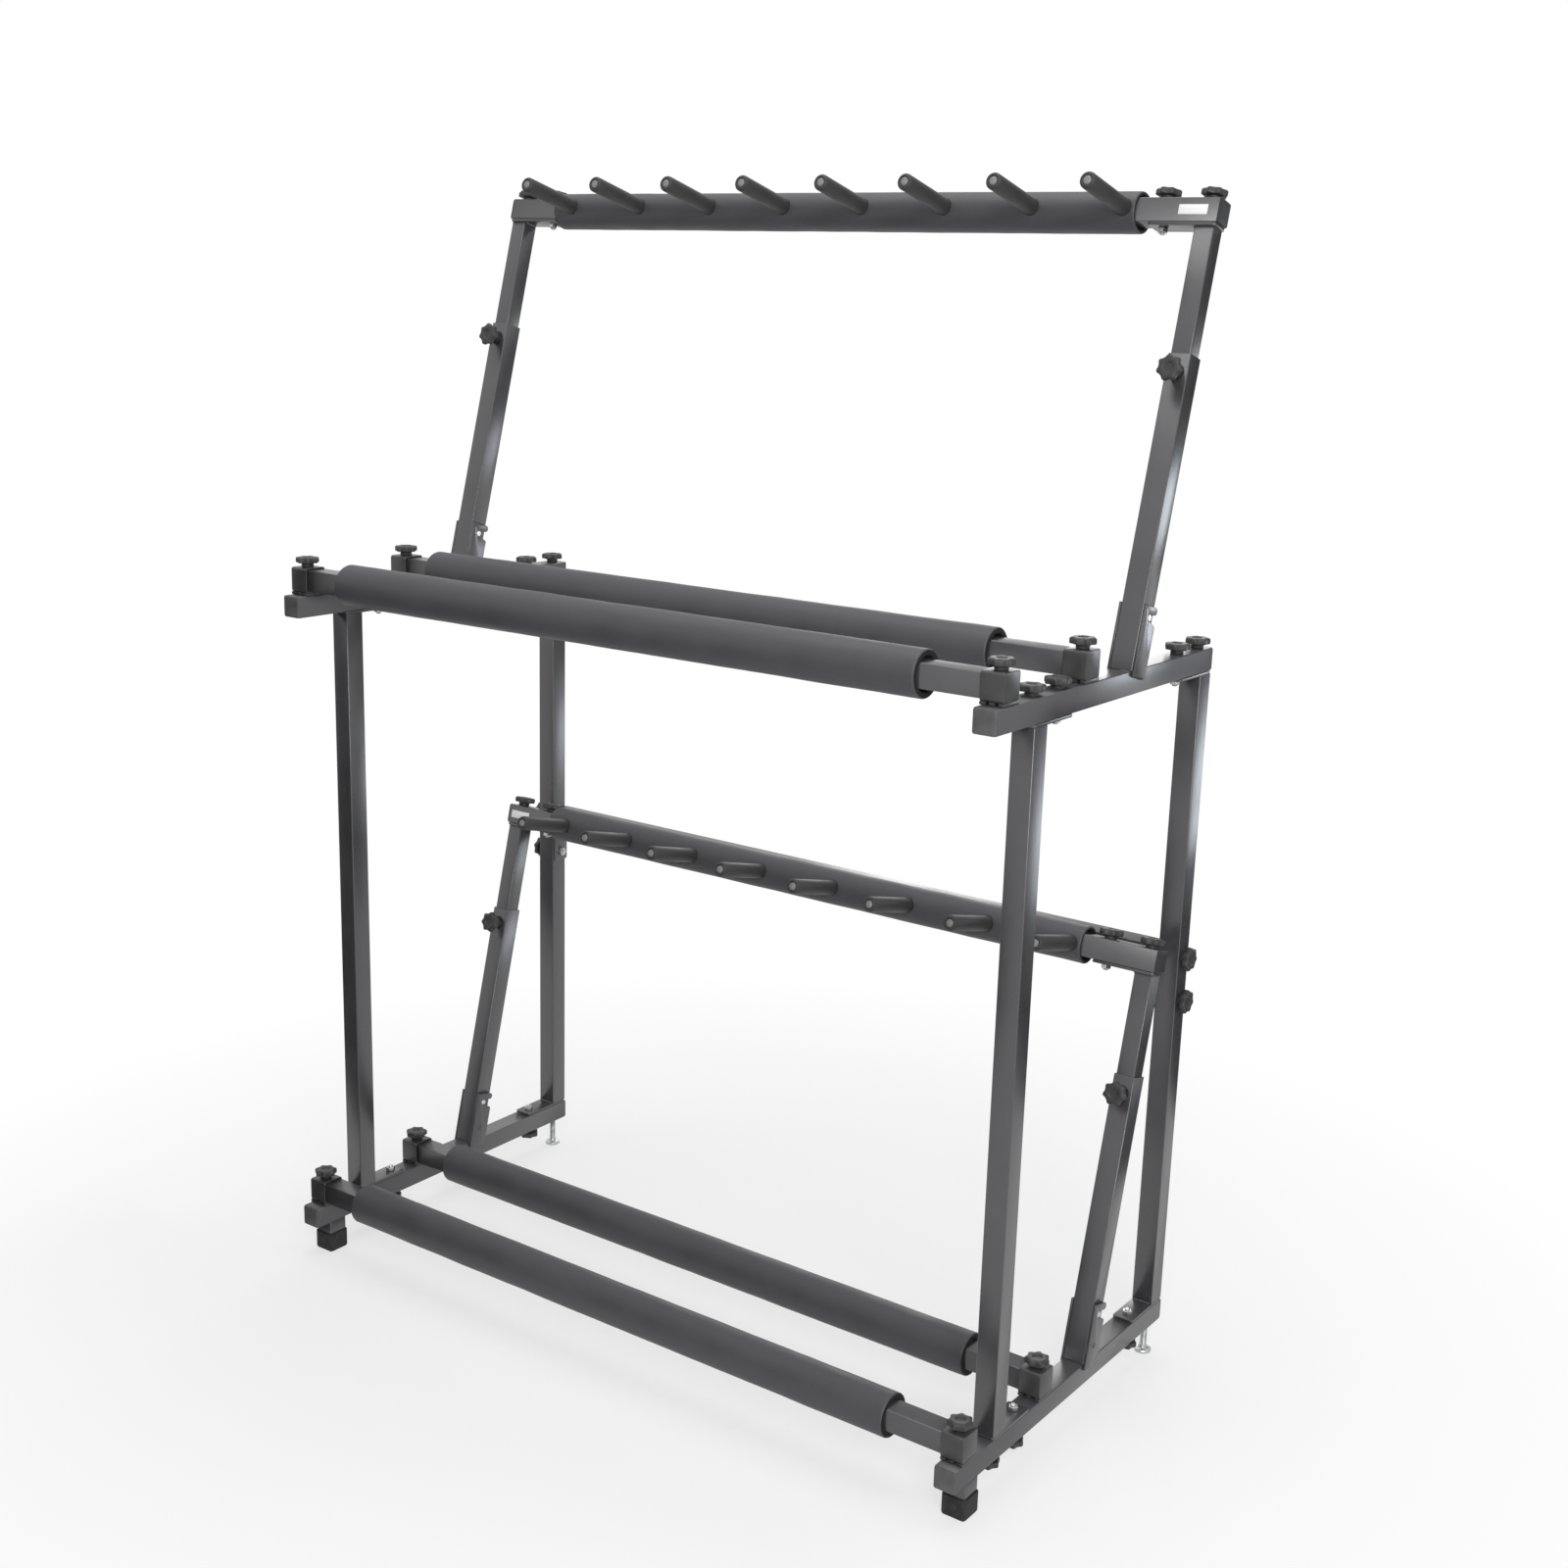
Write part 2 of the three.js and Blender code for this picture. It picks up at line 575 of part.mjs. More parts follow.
const upperZ = footHeight + tierPitch;
addTier("lower", footHeight, lowerHookRise, lowerLean, railFoamShift, false);
addTier("upper", upperZ, upperHookRise, upperLean, upperBackFoamShift, true);

for (const [sideName, side] of sides) {
  const x = side * sideX;
  addPiece(stand, `front_post_${sideName}`, post(1), paintedSteel(), x, frontY + frontPostY, postBottomZ);
  addPiece(stand, `rear_post_${sideName}`, rearPost(side), paintedSteel(), x, frontY + rearPostY, postBottomZ);
  addPiece(stand, `front_foot_${sideName}`, rubberFoot(), blackRubber(), x, frontY + stubSetback, 0);
  addPiece(stand, `levelling_foot_${sideName}`, levellingFoot(), platedSteel(), x, frontY + rearPostY, 0);
}
const crossbarZ = footHeight + tubeSize + crossbarRise;
addPiece(stand, "rear_crossbar", crossbar(), paintedSteel(), 0, frontY + rearPostY, crossbarZ);

export default stand;
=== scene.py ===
# Two tier display stand of square steel tube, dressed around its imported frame.
# Metres. +X runs along the rails to the right, +Y to the back, +Z up, and the floor is z = 0.
# The sections follow the stand as it is put together, from its side tubes to its hand knobs.

import math

import bmesh
import bpy
from mathutils import Matrix, Vector, noise


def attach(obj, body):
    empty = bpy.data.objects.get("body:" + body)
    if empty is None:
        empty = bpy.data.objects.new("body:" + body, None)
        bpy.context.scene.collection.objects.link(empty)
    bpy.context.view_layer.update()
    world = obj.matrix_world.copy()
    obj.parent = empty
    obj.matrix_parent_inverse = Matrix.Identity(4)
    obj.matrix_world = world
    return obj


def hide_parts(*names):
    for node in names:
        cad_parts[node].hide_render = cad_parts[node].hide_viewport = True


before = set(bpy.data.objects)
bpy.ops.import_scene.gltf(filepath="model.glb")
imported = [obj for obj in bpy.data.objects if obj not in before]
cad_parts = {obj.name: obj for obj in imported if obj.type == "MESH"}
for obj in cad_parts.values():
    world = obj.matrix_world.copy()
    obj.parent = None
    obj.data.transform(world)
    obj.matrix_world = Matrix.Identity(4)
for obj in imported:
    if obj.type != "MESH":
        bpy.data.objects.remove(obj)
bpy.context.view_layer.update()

# Side tubes
# Four lengths of 25 mm square steel tube, powder coated satin black, run from front to back.
# Their open ends are closed with pressed in plastic plugs.

tube = 0.025
tube_wall = 0.0015
tube_corner = 0.0012
tube_inner_corner = 0.0004
burr = 0.0003
side_length = 0.460
side_x = 0.4675
front_y = -side_length / 2
tiers = {"lower": 0.040, "upper": 0.814}  # underside of each tier's side tubes
sides = {"left": -1, "right": 1}
UP, DOWN = Vector((0, 0, 1)), Vector((0, 0, -1))
BACK, FORWARD = Vector((0, 1, 0)), Vector((0, -1, 0))
RIGHT, LEFT = Vector((1, 0, 0)), Vector((-1, 0, 0))


class Signal:
    """A socket of a finish, which takes part in Python sums."""

    def __init__(self, finish, socket):
        self.finish, self.socket = finish, socket

    def sum_of(self, operation, first, second):
        return self.finish.node("ShaderNodeMath", {"operation": operation}, {0: first, 1: second})

    def __add__(self, other):
        return self.sum_of("ADD", self, other)

    def __mul__(self, other):
        return self.sum_of("MULTIPLY", self, other)

    __radd__, __rmul__ = __add__, __mul__


class Finish:
    """A surface finish: a material whose nodes are written as sums."""

    def __init__(self, name, fixed):
        self.material = bpy.data.materials.new(name)
        self.material.use_nodes = True
        self.nodes = self.material.node_tree.nodes
        self.coat = self.nodes["Principled BSDF"]
        self.feed(self.coat, fixed)

    def feed(self, node, inputs):
        for key, value in inputs.items():
            if isinstance(value, Signal):
                self.material.node_tree.links.new(value.socket, node.inputs[key])
            else:
                node.inputs[key].default_value = value

    def node(self, kind, settings, inputs, output=0):
        made = self.nodes.new(kind)
        for setting, value in settings.items():
            setattr(made, setting, value)
        self.feed(made, inputs)
        return Signal(self, made.outputs[output])

    def place(self):
        return self.node("ShaderNodeTexCoord", {}, {}, "Object")

    def grain(self, per_metre, detail, stretch=None):
        """Noise with so many cells to the metre and so many octaves of detail."""
        where = self.place()
        if stretch:
            where = self.node("ShaderNodeVectorMath", {"operation": "MULTIPLY"}, {0: where, 1: stretch})
        inputs = {"Vector": where, "Scale": per_metre, "Detail": detail}
        return self.node("ShaderNodeTexNoise", {}, inputs)

    def between(self, low, high, amount):
        """The colour that lies an amount, 0 to 1, of the way from low to high."""
        settings = {"data_type": "RGBA", "clamp_factor": True}
        return self.node("ShaderNodeMix", settings, {0: amount, 6: low, 7: high}, 2)

    def spread(self, signal, low, high, new_low, new_high):
        """A signal that goes from new_low to new_high as another goes from low to high."""
        inputs = {"Value": signal, 1: low, 2: high, 3: new_low, 4: new_high}
        return self.node("ShaderNodeMapRange", {}, inputs)

    def coated(self, shade, rough, height, depth, strength):
        """Gives the surface its colour, its roughness and a fine relief."""
        inputs = {"Height": height, "Distance": depth, "Strength": strength}
        bump = self.node("ShaderNodeBump", {}, inputs)
        self.feed(self.coat, {"Base Color": shade, "Roughness": rough, "Normal": bump})
        return self.material


def grey(value, warmth=0.0):
    """A grey, warmer or cooler by a share of its value."""
    return (value * (1 + warmth), value, value * (1 - warmth), 1)


def violet_grey(value):
    """The grey of the coat and the foam, which leans to violet."""
    return (value * 1.02, value * 0.98, value * 1.07, 1)


def powder_coat():
    """Satin black powder coat: a fine orange peel, faint cloudiness, dust on what faces up."""
    finish = Finish("satin_black_powder_coat", {"Specular IOR Level": 0.7, "IOR": 1.6})
    cloud = finish.grain(14, 4)
    peel = finish.grain(900, 2)
    speck = finish.spread(finish.grain(2600, 1), 0.66, 0.74, 0, 1)
    normal = finish.node("ShaderNodeNewGeometry", {}, {}, "Normal")
    dot = {"operation": "DOT_PRODUCT"}
    facing_up = finish.node("ShaderNodeVectorMath", dot, {0: normal, 1: UP}, "Value")
    dust_here = finish.spread(facing_up, 0.6, 1.0, 0, 1)
    dust = dust_here * finish.spread(finish.grain(60, 5), 0.35, 0.75, 0.1, 0.5)
    cloudy = finish.spread(cloud, 0.35, 0.65, 0, 1)
    shade = finish.between(violet_grey(0.041), violet_grey(0.052), cloudy)
    shade = finish.between(shade, violet_grey(0.095), speck * 0.35)
    shade = finish.between(shade, grey(0.14, 0.02), dust * 0.35)
    rough = finish.spread(cloud, 0.3, 0.7, 0.27, 0.34) + dust * 0.06 + speck * 0.05
    return finish.coated(shade, rough, peel, depth=0.00005, strength=0.5)


def moulded_plastic(name, shade, rough):
    """Injection moulded plastic: a fine spark eroded grain and slightly uneven gloss."""
    finish = Finish(name, {"Specular IOR Level": 0.45})
    grain, cloud = finish.grain(2400, 2), finish.grain(45, 3)
    cloudy = finish.spread(cloud, 0.3, 0.7, 0, 1)
    uneven_shade = finish.between(grey(shade * 0.8), grey(shade * 1.25), cloudy)
    uneven_rough = finish.spread(cloud, 0.3, 0.7, rough - 0.06, rough + 0.06)
    return finish.coated(uneven_shade, uneven_rough, grain, depth=0.00006, strength=0.6)


black_coat = powder_coat()
# The side tube plugs have the same shape as the hook rail plugs; their lighter grey is painted light on
# the front and rear ends.
side_plug_painted_light = moulded_plastic("side_plug_painted_light", shade=0.085, rough=0.5)


def rounded(centres, corner, steps):
    """An outline of four rounded corners about their centres, from the first quarter on."""
    outline = []
    for quarter, (x, y) in enumerate(centres):
        for step in range(steps + 1):
            angle = (quarter + step / steps) * math.pi / 2
            outline.append((x + corner * math.cos(angle), y + corner * math.sin(angle)))
    return outline


def square(half, corner, height):
    """A square loop of points: its half width, the radius of its corners and its height."""
    reach = half - corner
    centres = ((reach, reach), (-reach, reach), (-reach, -reach), (reach, -reach))
    return [Vector((x, y, height)) for x, y in rounded(centres, corner, steps=5)]


def circle(radius, height, count=32):
    """A circle about the Z axis, as a loop of points at a height."""
    return [Vector((radius * math.cos(turn), radius * math.sin(turn), height))
            for turn in (2 * math.pi * step / count for step in range(count))]


def skin(name, loops, closed=False, crease=40):
    """A mesh that joins loops of points in turn, and either closes on itself or has two end faces."""
    count = len(loops[0])
    points = [point for loop in loops for point in loop]
    faces = []
    for row in range(len(loops) if closed else len(loops) - 1):
        after = (row + 1) % len(loops)
        for step in range(count):
            along = (step + 1) % count
            faces.append((row * count + step, row * count + along,
                          after * count + along, after * count + step))
    if not closed:
        faces.append(range(count))
        faces.append(range((len(loops) - 1) * count, len(loops) * count))
    mesh = bpy.data.meshes.new(name)
    mesh.from_pydata(points, [], faces)
    work = bmesh.new()
    work.from_mesh(mesh)
    bmesh.ops.recalc_face_normals(work, faces=work.faces)
    work.to_mesh(mesh)
    work.free()
    smooth(mesh, crease)
    return mesh


def smooth(mesh, crease=40):
    mesh.shade_smooth()
    mesh.set_sharp_from_angle(angle=math.radians(crease))


def stood(where, along=UP, back=BACK):
    """The place of a piece whose length is its own Z and whose back is its own Y."""
    along = along.normalized()
    right = back.cross(along).normalized()
    place = Matrix((right, along.cross(right), along)).transposed().to_4x4()
    place.translation = where
    return place


def shown(name, data):
    """Adds a mesh, a lamp or the camera to the scene."""
    made = bpy.data.objects.new(name, data)
    bpy.context.scene.collection.objects.link(made)
    return made


def piece(name, mesh, material, place, body, slot, *nodes):
    """Puts a mesh in its place, riding on its body, and standing for its CAD nodes."""
    made = shown(name, mesh)
    made.matrix_world = place
    if not mesh.materials:
        mesh.materials.append(material)
    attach(made, body)
    if nodes:
        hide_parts(*nodes)
    return made


def tube_mesh(name, length, size=tube, wall=tube_wall):
    """An open square tube along +Z from 0, its sawn ends slightly deburred."""
    half, inner = size / 2, size / 2 - wall
    corner, inner_corner = tube_corner, tube_inner_corner
    stations = (
        (half, corner, burr), (half, corner, length - burr), (half - burr, corner - burr, length),
        (inner + burr, inner_corner + burr, length), (inner, inner_corner, length - burr),
        (inner, inner_corner, burr), (inner + burr, inner_corner + burr, 0),
        (half - burr, corner - burr, 0))
    return skin(name, [square(*station) for station in stations], closed=True, crease=50)


plug_margin = 0.0001
plug_play = 0.0002
plug_corner = 0.0012
plug_depth = 0.011
plug_seat = 0.00005


def plug_mesh():
    """A square end plug: a low pillow head over the tube's end, and a short shank inside it."""
    half, shank = tube / 2 - plug_margin, tube / 2 - tube_wall - plug_play
    stations = (
        (shank - 0.001, plug_corner, -plug_depth), (shank, plug_corner, 0.001 - plug_depth),
        (shank, plug_corner, plug_seat), (half, 0.0024, plug_seat), (half, 0.0024, 0.0012),
        (half - 0.0005, 0.0021, 0.0018), (half - 0.0015, 0.0016, 0.0021), (half - 0.006, 0.001, 0.0023))
    return skin("end_plug", [square(*station) for station in stations], crease=35)


end_plug = plug_mesh()
side_tube = tube_mesh("side_tube", side_length)
for tier, base in tiers.items():
    for side, sign in sides.items():
        middle = Vector((sign * side_x, 0, base + tube / 2))
        name = f"{tier}_side_tube_{side}"
        piece(f"{name}_shell", side_tube, black_coat, stood(middle + BACK * front_y, BACK, DOWN),
              "frame", "tube_paint", name)
        for end, way in (("front", FORWARD), ("rear", BACK)):
            place = stood(middle - way * front_y, way, UP)
            piece(f"{name}_{end}_plug", end_plug, side_plug_painted_light, place, "frame", "cap_plastic")

# Arm brackets
# Pairs of steel plates, welded to both flanks of each side tube. Each plate holds the arm's pivot pin,
# and its open notch takes the arm's lock pin.

leans = {"lower": math.radians(13.9), "upper": math.radians(15)}
arm_setback = 0.280
arm_size = tube
seat = 0.0003
bracket_thickness = 0.0025
bracket_rise = 0.065
bracket_drop = 0.008
bracket_overhang = 0.0025
bracket_back = arm_size / 2 + bracket_overhang
pivot_rise = 0.018
lock_rise = 0.053
notch_radius = 0.0039
bead_radius = 0.0016
fine_bead = 0.0013
bead_end_share = 0.35
ripple_pitch = 0.0018
ripple_rows = 3
ripple_share = 0.13
uneven_share = 0.12
bracket_weld_lift = 0.0003
bracket_weld_inset = 0.002


def leaning(tier, x, along=0.0, behind=0.0):
    """A place in the directions of a leaning arm: its own Z runs up the arm and Y to its back."""
    root = Matrix.Translation((x, front_y + arm_setback, tiers[tier] + tube))
    return root @ Matrix.Rotation(-leans[tier], 4, "X") @ Matrix.Translation((0, behind, along))


def plate_mesh(name, outline, thickness, edge=0.0004):
    """A plate cut to an outline of (x, y) points, from z = 0 up, with its edges broken."""
    work = bmesh.new()
    underside = work.faces.new([work.verts.new((x, y, 0)) for x, y in outline])
    extruded = bmesh.ops.extrude_face_region(work, geom=[underside])["geom"]
    raised = [v for v in extruded if isinstance(v, bmesh.types.BMVert)]
    bmesh.ops.translate(work, verts=raised, vec=(0, 0, thickness))
    bmesh.ops.recalc_face_normals(work, faces=work.faces)
    sharp = [e for e in work.edges if e.calc_face_angle(0) > math.radians(40)]
    bmesh.ops.bevel(work, geom=sharp, offset=edge, segments=2, profile=0.5, affect="EDGES")
    mesh = bpy.data.meshes.new(name)
    work.to_mesh(mesh)
    work.free()
    smooth(mesh, 50)
    return mesh


def bracket_outline():
    """A bracket's flank: cut round the pivot at its back, up to the open notch and the lip over it."""
    front, steps = -arm_size / 2, 10
    swing = lock_rise - pivot_rise - notch_radius
    last = math.asin(bracket_back / swing)
    outline = [(front, -bracket_drop), (bracket_back, -bracket_drop)]
    for step in range(steps + 1):
        angle = last * (1 - step / steps)
        outline.append((swing * math.sin(angle), pivot_rise + swing * math.cos(angle)))
    for step in range(1, steps + 1):
        angle = math.pi * (1.5 - step / steps)
        outline.append((notch_radius * math.cos(angle), lock_rise + notch_radius * math.sin(angle)))
    lip = lock_rise + notch_radius
    radius = (bracket_rise - lip) / 2
    for step in range(steps + 1):
        angle = math.pi * (step / steps - 0.5)
        outline.append((bracket_back - radius + radius * math.cos(angle),
                        lip + radius + radius * math.sin(angle)))
    outline.append((front, bracket_rise))
    return outline


def bead_mesh(length, radius):
    """A weld bead along +Z, with the ripples that the torch leaves."""
    last = max(6, round(length / ripple_pitch)) * ripple_rows
    loops = []
    for step in range(last + 1):
        height = length * step / last
        ripple = ripple_share * math.sin(2 * math.pi * step / ripple_rows)
        uneven = uneven_share * noise.noise((height * 300, length * 50, 0))
        swell = radius * (1 + ripple + uneven)
        if step in (0, last):
            swell *= bead_end_share
        loops.append(circle(swell, height, count=10))
    return skin("weld_bead", loops, crease=80)


def weld(name, start, end, body, radius=bead_radius):
    """Lays a weld bead from one place to another."""
    mesh = bead_mesh((end - start).length, radius)
    side = RIGHT if abs((end - start).normalized().dot(RIGHT)) < 0.9 else BACK
    return piece(name, mesh, black_coat, stood(start, end - start, side), body, "tube_paint")


bracket = plate_mesh("bracket", bracket_outline(), bracket_thickness)
on_flank = Matrix(((0, 0, 1), (1, 0, 0), (0, 1, 0))).to_4x4()
for tier in tiers:
    for side, sign in sides.items():
        for face, out in (("inner", -sign), ("outer", sign)):
            near = sign * side_x + out * (tube / 2 + seat)
            low = min(near, near + out * bracket_thickness)
            piece(f"{tier}_bracket_{side}_{face}", bracket, black_coat, leaning(tier, low) @ on_flank,
                  "frame", "tube_paint")
            foot = leaning(tier, near + out * bracket_weld_lift)
            start = foot @ Vector((0, -arm_size / 2 + bracket_weld_inset, -bracket_drop))
            end = foot @ Vector((0, bracket_back - bracket_weld_inset, -bracket_drop))
            weld(f"{tier}_bracket_weld_{side}_{face}", start, end, "frame", fine_bead)

# Posts
# Four uprights of the same tube. A flat steel flange is welded across each end and reaches inward,
# with a nut on it for the second of the two knobs that hold the post to a side tube.

flange = 0.003
flange_corner = 0.003
flange_weld_lift = 0.0004
flange_weld_half = 0.0105
bolt_spacing = 0.050
front_post_setback = 0.0845
front_post_y = front_y + front_post_setback
rear_post_y = front_y + side_length - tube / 2
post_foot = tiers["lower"] + tube + seat
post_head = tiers["upper"] - seat


def zinc_plate():
    """Bright zinc on steel: fine turned scratches and a slightly mottled shine."""
    finish = Finish("zinc_plated_steel", {"Metallic": 1.0})
    mottle, scratch = finish.grain(220, 4), finish.grain(900, 2, (1, 1, 0.05))
    shade = finish.between(grey(0.42), grey(0.62, -0.01), finish.spread(mottle, 0.35, 0.65, 0, 1))
    rough = finish.spread(scratch, 0.3, 0.7, 0.24, 0.42)
    return finish.coated(shade, rough, scratch, depth=0.00003, strength=0.5)


zinc = zinc_plate()


def tongue(length):
    """The outline of a flange that reaches along Y from under its tube, with rounded corners."""
    half, corner = tube / 2, flange_corner
    wide, near, far = half - corner, corner - half, length - half - corner
    return rounded(((wide, far), (-wide, far), (-wide, near), (wide, near)), corner, steps=4)


def hexagon(radius, height):
    """A six sided loop with three points on each flat, so that its corners stay crisp."""
    corners = circle(radius, height, 6)
    return [corners[k].lerp(corners[(k + 1) % 6], share) for k in range(6) for share in (0, 0.5)]


nut_height = 0.005
nut_radius = 0.00575
nut_face_radius = 0.0050
nut_chamfer = 0.0006
nut_bore = 0.0034
nut_stations = (
    (nut_face_radius, 0), (nut_radius, nut_chamfer), (nut_radius, nut_height - nut_chamfer),
    (nut_face_radius, nut_height), (nut_bore, nut_height))
nut_mesh = skin("hex_nut", [hexagon(*station) for station in nut_stations], crease=25)
flange_mesh = plate_mesh("post_flange", tongue(tube + bolt_spacing), flange)
post_tube = tube_mesh("post_tube", post_head - post_foot - 2 * flange)


def flanged_end(names, place, along, inward, sideways):
    """A flange across the end of a tube, with its nut, and the weld bead between it and the tube."""
    piece(names.format("flange"), flange_mesh, black_coat, stood(place, along, inward),
          "frame", "tube_paint")
    nut_place = stood(place + inward * bolt_spacing + along * flange, along, inward)
    piece(names.format("nut"), nut_mesh, zinc, nut_place, "frame", "bright_steel")
    lift = flange_weld_lift
    corner = place + along * (flange + lift) + inward * (tube / 2 + lift)
    half_bead = sideways * flange_weld_half
    weld(names.format("weld"), corner - half_bead, corner + half_bead, "frame")


for line, post_y, inward in (("front", front_post_y, BACK), ("rear", rear_post_y, FORWARD)):
    for side, sign in sides.items():
        name = f"{line}_post_{side}"
        foot = Vector((sign * side_x, post_y, post_foot))
        head = Vector((sign * side_x, post_y, post_head))
        piece(f"{name}_tube", post_tube, black_coat, stood(foot + UP * flange),
              "frame", "tube_paint", name)
        flanged_end(name + "_foot_{}", foot, UP, inward, RIGHT)
        flanged_end(name + "_head_{}", head, DOWN, inward, RIGHT)

# Rear crossbar
# One tube between the rear posts keeps the frame square. Its end flanges hang down inside the posts
# and two knobs a side clamp it through them.

crossbar_rise = 0.4245
crossbar_z = tiers["lower"] + tube + crossbar_rise
crossbar_half = side_x - tube / 2 - seat
crossbar_tube = tube_mesh("crossbar_tube", 2 * (crossbar_half - flange))
crossbar_start = Vector((flange - crossbar_half, rear_post_y, crossbar_z))
piece("rear_crossbar_tube", crossbar_tube, black_coat, stood(crossbar_start, RIGHT, UP),
      "frame", "tube_paint", "rear_crossbar")
for side, sign in sides.items():
    place = Vector((sign * crossbar_half, rear_post_y, crossbar_z))
    flanged_end("rear_crossbar_{}_" + side, place, RIGHT * -sign, DOWN, BACK)

# Front feet
# A short stub of tube is welded under the front of each lower side tube, and a moulded rubber boot
# is pushed over it.

stub_setback = 0.032
stub_length = 0.0319
stub_weld_lift = 0.0003
stub_weld_half = 0.011
stub_bead = 0.0012
boot_height = 0.024
boot_half = 0.0145
boot_inside = tube / 2 + 0.0003
boot_sole = 0.008


def foot_rubber():
    """Moulded rubber: matte and slightly chalky, with a fine grain."""
    finish = Finish("foot_rubber", {"Specular IOR Level": 0.3})
    bloom, grain = finish.grain(120, 5), finish.grain(1500, 2)
    shade = finish.between(grey(0.018), grey(0.045, 0.03), finish.spread(bloom, 0.4, 0.7, 0, 1))
    rough = finish.spread(bloom, 0.3, 0.7, 0.65, 0.85)
    return finish.coated(shade, rough, grain, depth=0.0001, strength=0.6)


rubber = foot_rubber()
# Each (half width, corner radius, height), from under the sole, up the outside and down the inside.
boot_stations = (
    (boot_half - 0.0022, 0.002, 0), (boot_half - 0.0008, 0.0032, 0.0006), (boot_half, 0.004, 0.0025),
    (boot_half, 0.004, boot_height - 0.0008), (boot_half - 0.0006, 0.0035, boot_height),
    (tube / 2 + 0.0004, 0.003, boot_height), (boot_inside, 0.003, boot_height - 0.0006),
    (boot_inside, 0.003, boot_sole), (0.006, 0.001, boot_sole))
boot_mesh = skin("foot_boot", [square(*station) for station in boot_stations], crease=35)
stub_mesh = tube_mesh("foot_stub", stub_length)
for side, sign in sides.items():
    under = Vector((sign * side_x, front_y + stub_setback, tiers["lower"]))
    piece(f"front_foot_{side}_stub", stub_mesh, black_coat, stood(under, DOWN, BACK),
          "frame", "tube_paint")
    piece(f"front_foot_{side}_boot", boot_mesh, rubber, stood(under - UP * tiers["lower"]),
          "frame", "foot_rubber", f"front_foot_{side}")
    for face, way in (("front", FORWARD), ("rear", BACK)):
        corner = under + way * (tube / 2 + stub_weld_lift) - UP * stub_weld_lift
        half_bead = RIGHT * stub_weld_half
        weld(f"front_foot_{side}_weld_{face}", corner - half_bead, corner + half_bead,
             "frame", stub_bead)

# Levelling feet
# A zinc plated steel disc on a threaded stem stands under each rear post. The stem screws up through
# the side tube into the post, and so levels the stand.

stem_radius = 0.004
stem_foot = 0.009
stem_top = 0.0800
bolt_radius = 0.003
thread_pitch = 0.0011
thread_depth = 0.0005


def threaded(start, end, radius=bolt_radius):
    """Stations of a coarse thread between two heights."""
    turns = max(1, round(abs(end - start) / thread_pitch))
    return [(radius - (thread_depth if step % 2 else 0), start + (end - start) * step / (2 * turns))
            for step in range(2 * turns + 1)]


# Each (radius, height) of the disc, from the floor up to its neck.
disc_stations = [
    (0.0086, 0), (0.0098, 0.0006), (0.010, 0.0014), (0.010, 0.0032), (0.0094, 0.0040),
    (0.0065, 0.0046), (0.0052, 0.0052), (0.0045, 0.0075), (stem_radius, 0.0085)]
foot_stations = disc_stations + threaded(stem_foot, stem_top, stem_radius)
levelling_mesh = skin("levelling_foot", [circle(*station, count=28) for station in foot_stations],
                      crease=30)
for side, sign in sides.items():
    name = f"levelling_foot_{side}"
    piece(f"{name}_screw", levelling_mesh, zinc, stood(Vector((sign * side_x, rear_post_y, 0))),
          f"{name}_screw", "bright_steel", name)

# Padded rails
# Two square tubes run across each tier. A foam sleeve is pulled over each tube, so it stands on the
# tube's four corners and its open ends show a dark gap, with painted shade on the cut ends and bore.

rail_setbacks = {"front": 0.025, "back": 0.182}
cap_half = 0.0145
cap_foot = 0.003
rail_rise = tube + seat + cap_foot + cap_half
foam_radius = 0.0242
foam_bore = 0.0176
rail_foam = 0.784
rail_foam_shifts = {
    "lower_front": -0.004, "lower_back": -0.004, "upper_front": -0.004, "upper_back": -0.020}
foam_slack = 0.0002
slow_swell = 0.00035
fine_swell = 0.00012
swells_round = 1.4
swells_per_metre = 22
cut_depth = 0.0016
cut_end = 0.003
seed_step = 7


def sleeve_foam():
    """Closed cell foam with a skin: dark violet grey, with fine pores and rubbed paler patches."""
    finish = Finish("sleeve_foam", {"Specular IOR Level": 0.5})
    rubbed, pore = finish.grain(16, 5), finish.grain(1100, 2)
    cell_inputs = {"Vector": finish.place(), "Scale": 900.0}
    cells = finish.node("ShaderNodeTexVoronoi", {}, cell_inputs, "Distance")
    patchy = finish.spread(rubbed, 0.3, 0.7, 0, 1)
    shade = finish.between(violet_grey(0.052), violet_grey(0.066), patchy)
    shade = finish.between(shade, grey(0.022), finish.spread(pore, 0.62, 0.72, 0, 0.5))
    rough = finish.spread(rubbed, 0.3, 0.7, 0.48, 0.62)
    return finish.coated(shade, rough, cells * 0.6 + pore, depth=0.0001, strength=0.5)


foam = sleeve_foam()
# Near black painted shade for the foam's cut ends, its bore and its peg holes.
foam_ends_painted_shade = moulded_plastic("foam_ends_painted_shade", shade=0.007, rough=0.9)


